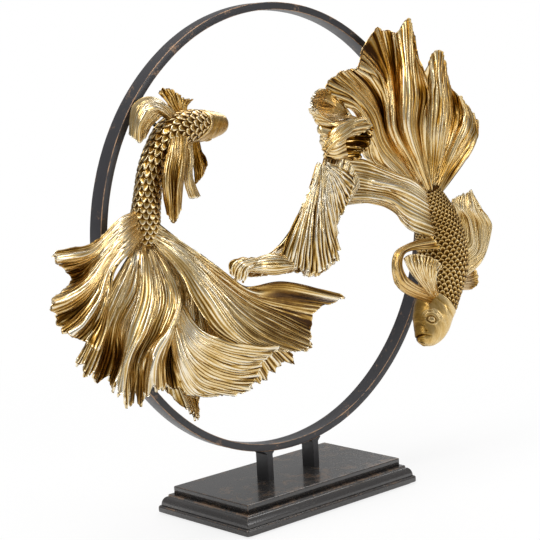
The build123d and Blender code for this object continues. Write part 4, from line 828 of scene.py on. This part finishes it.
def add_node(tree, kind, values=None, **settings):
    """Adds a shader node, sets it and links or fills its inputs."""
    made = tree.nodes.new(kind)
    for name, value in settings.items():
        setattr(made, name, value)
    for socket, value in (values or {}).items():
        if isinstance(value, bpy.types.NodeSocket):
            tree.links.new(value, made.inputs[socket])
        else:
            made.inputs[socket].default_value = value
    return made


def calculate(tree, operation, *values):
    """Output of a Math node over numbers or sockets."""
    return add_node(tree, "ShaderNodeMath", dict(enumerate(values)), operation=operation).outputs[0]


def plus(tree, first, second):
    """Sum of two numbers or sockets."""
    return calculate(tree, "ADD", first, second)


def times(tree, first, second):
    """Product of two numbers or sockets."""
    return calculate(tree, "MULTIPLY", first, second)


def less(tree, first, second):
    """First number or socket less the second."""
    return calculate(tree, "SUBTRACT", first, second)


def read(tree, attribute):
    """Value of a point attribute."""
    return add_node(tree, "ShaderNodeAttribute", attribute_name=attribute).outputs["Fac"]


def blend_colours(tree, share, first, second, mode="MIX"):
    """Output of a colour mix."""
    values = {0: share, 6: first, 7: second}
    made = add_node(tree, "ShaderNodeMix", values, data_type="RGBA", blend_type=mode)
    return made.outputs[2]


def ramp(tree, value, stops):
    """Output of a colour ramp over (place, colour) stops."""
    made = add_node(tree, "ShaderNodeValToRGB", {"Fac": value})
    points = made.color_ramp.elements
    while len(points) < len(stops):
        points.new(0.5)
    for point, (place, colour) in zip(points, stops):
        point.position = place
        point.color = (*colour, 1)
    return made.outputs["Color"]


def greys(tree, value, stops):
    """Output of a ramp over (place, grey) stops."""
    return ramp(tree, value, [(place, (grey, grey, grey)) for place, grey in stops])


def noise(tree, scale, detail, roughness=0.55, stretch=(1, 1, 1)):
    """Noise value on Object coordinates, with the pattern stretched by a Mapping node."""
    place = add_node(tree, "ShaderNodeTexCoord").outputs["Object"]
    mapped = add_node(tree, "ShaderNodeMapping", {"Vector": place, "Scale": stretch}).outputs[0]
    values = {"Vector": mapped, "Scale": scale, "Detail": detail, "Roughness": roughness}
    return add_node(tree, "ShaderNodeTexNoise", values).outputs["Fac"]


def effect_group(name, inputs, outputs):
    """Empty shader node group with named inputs and outputs."""
    tree = bpy.data.node_groups.new(name, "ShaderNodeTree")
    for label, kind, default in inputs:
        socket = tree.interface.new_socket(name=label, in_out="INPUT", socket_type=kind)
        socket.default_value = default
    for label, kind in outputs:
        tree.interface.new_socket(name=label, in_out="OUTPUT", socket_type=kind)
    return tree, tree.nodes.new("NodeGroupInput"), tree.nodes.new("NodeGroupOutput")


NUMBER, COLOUR = "NodeSocketFloat", "NodeSocketColor"


def gilding_group():
    """Gold leaf: amber painted shade in hollows, ochre between and champagne painted highlights on crests.
    """
    tree, given, made = effect_group(
        "gilding",
        [("Relief", NUMBER, 0.5), ("Shade", NUMBER, 0.0), ("Line", NUMBER, 0.5), ("Amber", NUMBER, 0.3)],
        [("Color", COLOUR), ("Roughness", NUMBER), ("Height", NUMBER)],
    )
    grit = noise(tree, 420, 3, 0.6)
    # Relief is the piece's painted light and shade.
    level = given.outputs["Relief"]
    for value, strength in ((noise(tree, 26, 3), 0.35), (grit, 0.22), (given.outputs["Line"], 0.7)):
        level = plus(tree, level, times(tree, less(tree, value, 0.5), strength))
    # Shade darkens the whole finish as painted shade.
    level = less(tree, level, given.outputs["Shade"])
    gold = ramp(tree, level, [
        (0.0, (0.045, 0.02, 0.004)), (0.2, (0.19, 0.1, 0.018)), (0.4, (0.45, 0.29, 0.08)),
        (0.58, (0.68, 0.5, 0.23)), (0.8, (0.86, 0.72, 0.45)), (1.0, (0.91, 0.83, 0.67)),
    ])
    # Random patches turned greyish brown.
    grey_patches = greys(tree, noise(tree, 17, 4, 0.6), [(0.0, 0), (0.56, 0), (0.7, 1), (1.0, 1)])
    toned = blend_colours(tree, times(tree, grey_patches, 0.35), gold, (0.26, 0.2, 0.11, 1))
    # Amber multiplied into the hollows is painted shade and painted reflection of gold on gold.
    hollow = add_node(tree, "ShaderNodeClamp", {"Value": less(tree, 1.05, level)}).outputs[0]
    painted_amber_shade = times(tree, hollow, given.outputs["Amber"])
    toned = blend_colours(tree, painted_amber_shade, toned, (1.0, 0.76, 0.3, 1), "MULTIPLY")
    rough = plus(tree, times(tree, less(tree, 1.0, level), 0.22), 0.14)
    rough = plus(tree, rough, times(tree, grit, 0.12))
    height = plus(tree, times(tree, grit, 0.35), times(tree, given.outputs["Line"], 0.9))
    for label, value in (("Color", toned), ("Roughness", rough), ("Height", height)):
        tree.links.new(value, made.inputs[label])
    return tree


def new_material(name):
    """Empty material with its shader and output."""
    material = bpy.data.materials.new(name)
    material.use_nodes = True
    tree = material.node_tree
    tree.nodes.clear()
    shader = tree.nodes.new("ShaderNodeBsdfPrincipled")
    output = tree.nodes.new("ShaderNodeOutputMaterial")
    tree.links.new(shader.outputs[0], output.inputs["Surface"])
    return material, tree, shader


def add_bump(tree, shader, height, strength, distance):
    """Fine bumps on a finish, from a height between 0 and 1."""
    values = {"Height": height, "Strength": strength, "Distance": distance}
    bump = add_node(tree, "ShaderNodeBump", values)
    tree.links.new(bump.outputs[0], shader.inputs["Normal"])


def gilt(name, shade=0.0, lined=True, amber=0.45):
    """Gilded finish that reads the piece's painted light and shade and its lines along the fin rays."""
    material, tree, shader = new_material(name)
    leaf = add_node(tree, "ShaderNodeGroup", node_tree=GILDING)
    tree.links.new(read(tree, "painted_relief_light"), leaf.inputs["Relief"])
    if lined:
        across, along = times(tree, read(tree, "line"), 2.6), times(tree, read(tree, "reach"), 0.16)
        place = add_node(tree, "ShaderNodeCombineXYZ", {"X": across, "Y": along}).outputs[0]
        values = {"Vector": place, "Scale": 1.0, "Detail": 2.0, "Roughness": 0.55}
        grain = add_node(tree, "ShaderNodeTexNoise", values).outputs["Fac"]
        tree.links.new(grain, leaf.inputs["Line"])
    # The shade setting darkens the whole finish as painted shade.
    leaf.inputs["Shade"].default_value = shade
    leaf.inputs["Amber"].default_value = amber
    tree.links.new(leaf.outputs["Color"], shader.inputs["Base Color"])
    tree.links.new(leaf.outputs["Roughness"], shader.inputs["Roughness"])
    add_bump(tree, shader, leaf.outputs["Height"], 0.4, 0.6 * MM)
    shader.inputs["Metallic"].default_value = 1.0
    return material


def edge_line_group():
    """Line of the colour under the paint along the edges: a mask broken by noise."""
    tree, given, made = effect_group(
        "edge_line_mask", [("Edge", NUMBER, 0.0), ("Amount", NUMBER, 0.5)], [("Mask", NUMBER)],
    )
    broken = plus(tree, noise(tree, 55, 5, 0.65), times(tree, noise(tree, 420, 3), 0.35))
    strength = times(tree, given.outputs["Edge"], given.outputs["Amount"])
    level = times(tree, less(tree, plus(tree, strength, broken), 1.12), 5.0)
    mask = add_node(tree, "ShaderNodeClamp", {"Value": level}).outputs[0]
    tree.links.new(mask, made.inputs["Mask"])
    return tree


def black_paint(name, colour, under, roughness, edge_line, coat, speck):
    """Black finish with soft mottling, scuffs and a broken line of the colour under it along the edges."""
    material, tree, shader = new_material(name)
    dark, light = [(*[c * share for c in colour], 1) for share in (0.6, 1.5)]
    pale = (*[c * 3 + 0.02 for c in colour], 1)
    shade = blend_colours(tree, noise(tree, 12, 4, 0.6), dark, light)
    scuff = noise(tree, 70, 6, 0.7, (1, 1, 3))
    scuffed = greys(tree, scuff, [(0.0, 0), (0.66, 0), (0.72, 1), (1.0, 1)])
    shade = blend_colours(tree, times(tree, scuffed, speck), shade, pale)
    rough = plus(tree, roughness, times(tree, noise(tree, 90, 5), 0.12))
    if edge_line:
        lined_edges = add_node(tree, "ShaderNodeGroup", {"Amount": edge_line}, node_tree=EDGE_LINE_MASK)
        tree.links.new(read(tree, "edge_line"), lined_edges.inputs["Edge"])
        mask = lined_edges.outputs["Mask"]
        shade = blend_colours(tree, mask, shade, (*under, 1))
        rough = plus(tree, rough, times(tree, mask, 0.1))
    tree.links.new(shade, shader.inputs["Base Color"])
    tree.links.new(rough, shader.inputs["Roughness"])
    add_bump(tree, shader, noise(tree, 160, 5, 0.6), 0.12, 0.8 * MM)
    shader.inputs["Coat Weight"].default_value = coat
    shader.inputs["Coat Roughness"].default_value = 0.12
    return material


GILDING = gilding_group()
EDGE_LINE_MASK = edge_line_group()
# Copies of the gilt darkened by their shade setting as painted shade, for pieces that lie in shade; amber
# paints their hollows warmer as painted shade and reflection of gold on gold.
GILT = gilt("gilt")
GILT_SHADED_MID = gilt("gilt_shaded_mid", 0.2, amber=0.7)
GILT_AMBER_SHADED = gilt("gilt_amber_shaded", 0.2, amber=1.3)
GILT_SHADED_DARK = gilt("gilt_shaded_dark", 0.36, amber=1.2)
GILT_BODY = gilt("gilt_body", 0.13, lined=False, amber=0.6)
GILT_BODY_SHADED_DEEP = gilt("gilt_body_shaded_deep", 0.31, lined=False, amber=0.55)
# The ring's rounded edges show a thin copper-brown line.
STEEL_PAINT = black_paint(
    "charcoal_steel", (0.024, 0.023, 0.027), under=(0.42, 0.25, 0.14), roughness=0.3, edge_line=0.62,
    coat=0.1, speck=0.12,
)
POST_PAINT = black_paint(
    "charcoal_post", (0.02, 0.019, 0.021), under=(0.5, 0.28, 0.15), roughness=0.3, edge_line=0,
    coat=0.1, speck=0.12,
)
# The plinth's edges are rubbed through to brown.
LACQUER = black_paint(
    "plinth_lacquer", (0.027, 0.024, 0.023), under=(0.17, 0.1, 0.055), roughness=0.2, edge_line=0.6,
    coat=0.75, speck=0.25,
)


# The object's pieces

BROAD = dict(
    rib_pitch=6.4, rib_height=1.3, per_rib=8, pleat_pitch=19, pleat_height=3.4, tooth=5, contrast=1.5,
)
# Folds: line, rise, run, drop and the crest's painted light. Each one paints shade along its groove, and the
# sweep's fold has no rise, so it is painted shade alone.
VEIL_FOLDS = [
    ([(0.53, 0.44), (0.59, 0.6), (0.62, 0.7), (0.615, 0.95)], -2, 5, 5, -0.3),
    ([(0.43, 0.6), (0.4, 0.78), (0.28, 1)], -2.2, 6, 6, -0.3),
]
SWEEP_FOLDS = [([(0.75, 0.45), (0.68, 0.75), (0.62, 1)], 0, 20, 20, -0.3)]

# The tone settings below paint light and shade along and across a sheet.
# Piece, CAD node, net, seed and what differs from the usual sheet
TAILS = [
    ("left_tail_veil", "left_fish_tail_veil", LEFT_VEIL_NET, 11,
     dict(columns=110, tooth=11, folds=VEIL_FOLDS)),
    ("left_tail_veil_layer", "left_fish_tail_veil", LEFT_VEIL_LAYER_NET, 17,
     dict(columns=110, tooth=5, pleat_height=2, crinkle=2, painted_light=((0, 1), (-0.08, -0.12)), contrast=1.15)),
    ("left_tail_outer_lobe", "left_fish_tail_outer_lobe", LEFT_OUTER_LOBE_NET, 23, {}),
    ("left_tail_sweep", "left_fish_tail_sweep", LEFT_SWEEP_NET, 37,
     dict(columns=110, folds=SWEEP_FOLDS, calm=((0, 0.72, 0.8, 0.95, 1), (0, 0, 0.75, 0.75, 0.2)),
          painted_light_across=((0, 0.72, 0.8, 1), (0, 0, -0.12, -0.1)),
          painted_light=((0, 0.55, 0.75, 1), (0, 0, -0.14, -0.16)))),
    ("left_tail_back_lobe", "left_fish_tail_back_lobe", LEFT_BACK_LOBE_NET, 41, {}),
    ("right_tail_front_fan", "right_fish_tail_front_fan", RIGHT_FRONT_FAN_NET, 53,
     dict(BROAD, columns=110)),
    ("right_tail_back_fan", "right_fish_tail_back_fan", RIGHT_BACK_FAN_NET, 67, BROAD),
    ("right_tail_arm", "right_fish_tail_arm", RIGHT_ARM_NET, 71,
     dict(rib_pitch=4.4, rib_height=0.9, per_rib=8, pleat_height=1.8, tooth=3, painted_light=((0, 1), (0.05, 0.12)))),
    ("right_tail_sweep", "right_fish_tail_sweep", RIGHT_SWEEP_NET, 83,
     dict(rib_pitch=4.8, rib_height=0.9, per_rib=7, pleat_height=1.8, painted_light=((0, 1), (0.1, 0.1)))),
    ("right_tail_sweep_layer", "right_fish_tail_sweep", RIGHT_SWEEP_LAYER_NET, 89,
     dict(rib_pitch=6, rib_height=1.3, per_rib=8, pleat_pitch=12, tooth=6, crinkle=2, contrast=1.4,
          painted_light=((0, 0.4, 1), (0.04, 0.04, -0.15)))),
    ("right_tail_sweep_leaf", "right_fish_tail_sweep", RIGHT_SWEEP_LEAF_NET, 103,
     dict(rib_pitch=3.4, pleat_pitch=16, pleat_height=1, tooth=2, crinkle=0.5, contrast=1.3,
          painted_light=((0, 1), (-0.15, -0.15)), painted_light_across=((0, 0.35, 0.5, 1), (0.1, 0, -0.2, -0.1)))),
    ("right_tail_sweep_end", "right_fish_tail_sweep", RIGHT_SWEEP_END_NET, 107,
     dict(rib_pitch=5, rib_height=1.2, per_rib=8, pleat_pitch=8, pleat_height=1.8, tooth=8, crinkle=0.6,
          contrast=1.3, painted_light=((0, 1), (-0.05, -0.12)))),
    ("right_tail_roll_layer", "right_fish_tail_roll", RIGHT_ROLL_LAYER_NET, 109,
     dict(rib_pitch=5, rib_height=1.4, per_rib=8, pleat_pitch=9, pleat_height=2, tooth=5, contrast=1.3)),
    ("right_tail_roll", "right_fish_tail_roll", RIGHT_ROLL_NET, 97,
     dict(rib_pitch=8, rib_height=1.5, per_rib=10, pleat_pitch=11, pleat_height=3, contrast=1.4, tooth=8,
          painted_light=((0, 0.4, 0.52, 0.8, 1), (0.05, 0.05, -0.05, 0.05, 0)))),
    ("right_tail_cup", "right_fish_tail_cup", RIGHT_CUP_NET, 101,
     dict(rib_pitch=7, rib_height=0.3, per_rib=8, pleat_height=0.8, contrast=0.6,
          painted_light=((0, 1), (0.35, 0.25)))),
]
for name, node_name, rows, seed, extra in TAILS:
    # The fans and the roll take the amber copy, darkened by painted shade.
    finish = GILT_AMBER_SHADED if "fan" in name or "roll" in name else GILT
    gilded_sheet(name, node_name, rows, seed, finish, **extra)

# The darker finishes carry painted shade.
# Piece, net, seed and finish, then the pleats' pitch and height, the teeth, and the ribs'
# pitch and height in mm
FINS = [
    ("left_pectoral", LEFT_PECTORAL_NET, 211, GILT_SHADED_MID, 8, 1.4, 1, 2.8, 0.4),
    ("left_hood", LEFT_HOOD_NET, 223, GILT, 9, 1.2, 1, 2.8, 0.4),
    ("left_dorsal", LEFT_DORSAL_NET, 227, GILT_SHADED_DARK, 5, 1.2, 3, 5, 1.2),
    ("left_far_pectoral", LEFT_FAR_PECTORAL_NET, 229, GILT, 8, 0.8, 2, 2.8, 0.4),
    ("left_pelvic", LEFT_PELVIC_NET, 233, GILT_SHADED_DARK, 5, 0.9, 3, 2.8, 0.4),
    ("right_dorsal", RIGHT_DORSAL_NET, 239, GILT, 9, 1.6, 4, 2.8, 0.4),
    ("right_far_pectoral", RIGHT_FAR_PECTORAL_NET, 241, GILT_SHADED_MID, 6, 0.8, 3, 2.8, 0.4),
    ("right_curling", RIGHT_CURLING_NET, 251, GILT_SHADED_DARK, 9, 1.6, 3, 4.5, 1.1),
    ("right_pectoral", RIGHT_PECTORAL_NET, 257, GILT_SHADED_MID, 11, 1.2, 3, 5.5, 1.5),
]
for name, rows, seed, finish, pitch, height, tooth, rib_pitch, rib_height in FINS:
    side, kind = name.split("_", 1)
    gilded_sheet(
        name, f"{side}_fish_{kind}_fin", rows, seed, finish, pleat_pitch=pitch, pleat_height=height,
        rib_pitch=rib_pitch, rib_height=rib_height, tooth=tooth, thickness=2.4, crinkle=0.5,
        per_rib=8, columns=70, contrast=1.4 if rib_height > 0.4 else 1.0,
    )

# The angle round a body that faces the viewer
FACING = 1.5 * math.pi
# Both body finishes carry painted shade, and the head setting paints the bare head lighter, more on one
# side.
fish_body(
    "left_fish", "left_fish_body", LEFT_BODY_SHARES, 301, gill=(52, -5.5, 6), scale_count=13,
    row_pitches=(4.6, 5.4, 7.6, 7.2, 6, 5), scale_height=2,
    eye=(30, (math.pi - 0.15, 0.15), 4.6), mouth=(FACING, 0),
    finish=GILT_BODY, head_painted_light=(0.06, 0),
)
fish_body(
    "right_fish", "right_fish_body", RIGHT_BODY_SHARES, 307, gill=(66, -6, -3), scale_count=23,
    row_pitches=(5.6, 5.6, 5.2, 4.4, 3.8), scale_height=2.1,
    eye=(34, (FACING - 0.12, math.pi / 2 + 0.12), 4.6), mouth=(math.pi, 4),
    finish=GILT_BODY_SHADED_DEEP, head_painted_light=(0.3, 0.2),
)

swept_ring("ring_bar", "ring", STEEL_PAINT)
plinth_tier("top_board", "base_top_board", [
    (0, 0), (0, 0.9), (-0.3 * MM, 0.97), (-0.9 * MM, 1.0),
], [0, 0, 1, 0.6], 0.9 * MM, LACQUER)
# The moulding's reach, and the foot and height of its quarter round as shares of the tier
LEDGE, OVOLO_LOW, OVOLO_HEIGHT = 6.4 * MM, 0.04, 0.775
OVOLO = [
    (LEDGE * math.cos(way), OVOLO_LOW + OVOLO_HEIGHT * math.sin(way))
    for way in np.linspace(0, math.pi / 2, 11)
]
plinth_tier("moulding", "base_moulding", [
    (LEDGE, 0), *OVOLO, (0, 0.83), (0, 0.95), (-0.5 * MM, 1.0),
], [0, 0.6] + [0.25] * 9 + [0.9, 0.5, 1, 0.7], 0.6 * MM, LACQUER)
plinth_tier("bottom_board", "base_bottom_board", [
    (-1.2 * MM, 0), (-0.3 * MM, 0.05), (0, 0.18), (0, 0.72), (-0.4 * MM, 0.9), (-1.3 * MM, 1.0),
], [0, 0.8, 0.4, 0.3, 0.9, 0.5], 2.5 * MM, LACQUER)

# The CAD pieces that are shown as they are
CAD_SHOWN = (
    "left_post", "right_post", "post_weld_beads", "fish_pin_weld_beads", "left_fish_body_pin",
    "left_fish_tail_pin", "right_fish_body_pins", "right_fish_fan_pin", "felt_sheet", "post_screws",
    "post_washers",
)
for node_name in CAD_SHOWN:
    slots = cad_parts[node_name].data.materials
    if slots:
        slots[0] = POST_PAINT
    else:
        slots.append(POST_PAINT)


# Camera, floor and light

SENSOR, FOCAL_PIXELS, FRAME_PIXELS = 36.0, 1535.8, 540
CAMERA_PLACE, CAMERA_TURN = (-1.2547, -1.3562, 0.5424), (-42.465, 7.908, -3.0)


def way_out(azimuth, elevation):
    """Unit vector from the object towards an azimuth and elevation in degrees."""
    a, e = math.radians(azimuth), math.radians(elevation)
    return np.array([math.sin(a) * math.cos(e), -math.cos(a) * math.cos(e), math.sin(e)])


def placed(place, azimuth, elevation, roll=0.0):
    """World matrix of a thing at a place that looks back from an azimuth and elevation."""
    back = way_out(azimuth, elevation)
    right = unit(np.cross(-back, (0, 0, 1.0)))
    up = np.cross(right, -back)
    c, s = math.cos(math.radians(roll)), math.sin(math.radians(roll))
    turn = np.eye(4)
    turn[:3, :3] = np.stack([c * right + s * up, c * up - s * right, back], 1)
    turn[:3, 3] = place
    return Matrix(turn.tolist())


def soft_light(name, azimuth, elevation, distance, size, watts):
    """Large rectangular lamp that faces the middle of the object."""
    lamp = bpy.data.lights.new(name, "AREA")
    lamp.shape = "RECTANGLE"
    lamp.size, lamp.size_y = size
    lamp.energy = watts
    made = bpy.data.objects.new(name, lamp)
    bpy.context.scene.collection.objects.link(made)
    place = way_out(azimuth, elevation) * distance + np.array([0, 0, 0.3])
    made.matrix_world = placed(place, azimuth, elevation)


lens = bpy.data.cameras.new("camera")
lens.sensor_width = SENSOR
lens.lens = SENSOR * FOCAL_PIXELS / FRAME_PIXELS
lens.clip_end = 50
camera = bpy.data.objects.new("camera", lens)
bpy.context.scene.collection.objects.link(camera)
bpy.context.scene.camera = camera
camera.matrix_world = placed(CAMERA_PLACE, *CAMERA_TURN)

# Azimuth, elevation, distance, size and watts
soft_light("key", -85, 40, 2.6, (0.9, 1.5), 26)
soft_light("fill", 25, 20, 3.0, (0.6, 1.8), 16)
soft_light("rim", 120, 35, 2.6, (0.9, 1.6), 16)
soft_light("top", -40, 80, 2.4, (1.8, 0.8), 22)

world = bpy.data.worlds.new("studio")
bpy.context.scene.world = world
world.use_nodes = True
sky = world.node_tree
sky.nodes.clear()
rays = add_node(sky, "ShaderNodeLightPath")
way = add_node(sky, "ShaderNodeTexCoord").outputs["Generated"]
height = add_node(sky, "ShaderNodeSeparateXYZ", {0: way}).outputs["Z"]
studio = greys(sky, plus(sky, times(sky, height, 0.5), 0.5), [
    (0.0, 0.4), (0.46, 0.4), (0.56, 0.3), (0.75, 0.33), (1.0, 0.7),
])
seen = blend_colours(sky, rays.outputs["Is Camera Ray"], studio, (1, 1, 1, 1))
light = add_node(sky, "ShaderNodeBackground", {"Color": seen, "Strength": 1.0})
add_node(sky, "ShaderNodeOutputWorld", {"Surface": light.outputs[0]})

# The camera sees a fifth of the floor's shading near the object and pure white further
# out. The floor lies a fifth of a millimetre low, so that no face of the object lies in it.
floor_mesh = bpy.data.meshes.new("floor")
floor_mesh.from_pydata([(-6, -6, 0), (6, -6, 0), (6, 6, 0), (-6, 6, 0)], [], [(0, 1, 2, 3)])
floor = bpy.data.objects.new("floor", floor_mesh)
floor.location.z = -0.2 * MM
bpy.context.scene.collection.objects.link(floor)
pale, tree, shader = new_material("pale_floor")
shader.inputs["Base Color"].default_value = (0.9, 0.9, 0.9, 1)
shader.inputs["Roughness"].default_value = 0.9
glow = add_node(tree, "ShaderNodeEmission", {"Color": (1, 1, 1, 1), "Strength": 1.0})
rays = add_node(tree, "ShaderNodeLightPath")
spot = add_node(tree, "ShaderNodeTexCoord").outputs["Object"]
away = add_node(tree, "ShaderNodeVectorMath", {0: spot}, operation="LENGTH").outputs["Value"]
fade = add_node(tree, "ShaderNodeMapRange", {
    "Value": away, "From Min": 0.2, "From Max": 1.1, "To Min": 0.8, "To Max": 1.0,
}).outputs[0]
direct = times(tree, rays.outputs["Is Camera Ray"], fade)
mixed = add_node(tree, "ShaderNodeMixShader", {0: direct, 1: shader.outputs[0], 2: glow.outputs[0]})
tree.links.new(mixed.outputs[0], tree.nodes["Material Output"].inputs["Surface"])
floor_mesh.materials.append(pale)

bpy.context.scene.view_settings.view_transform = "Standard"
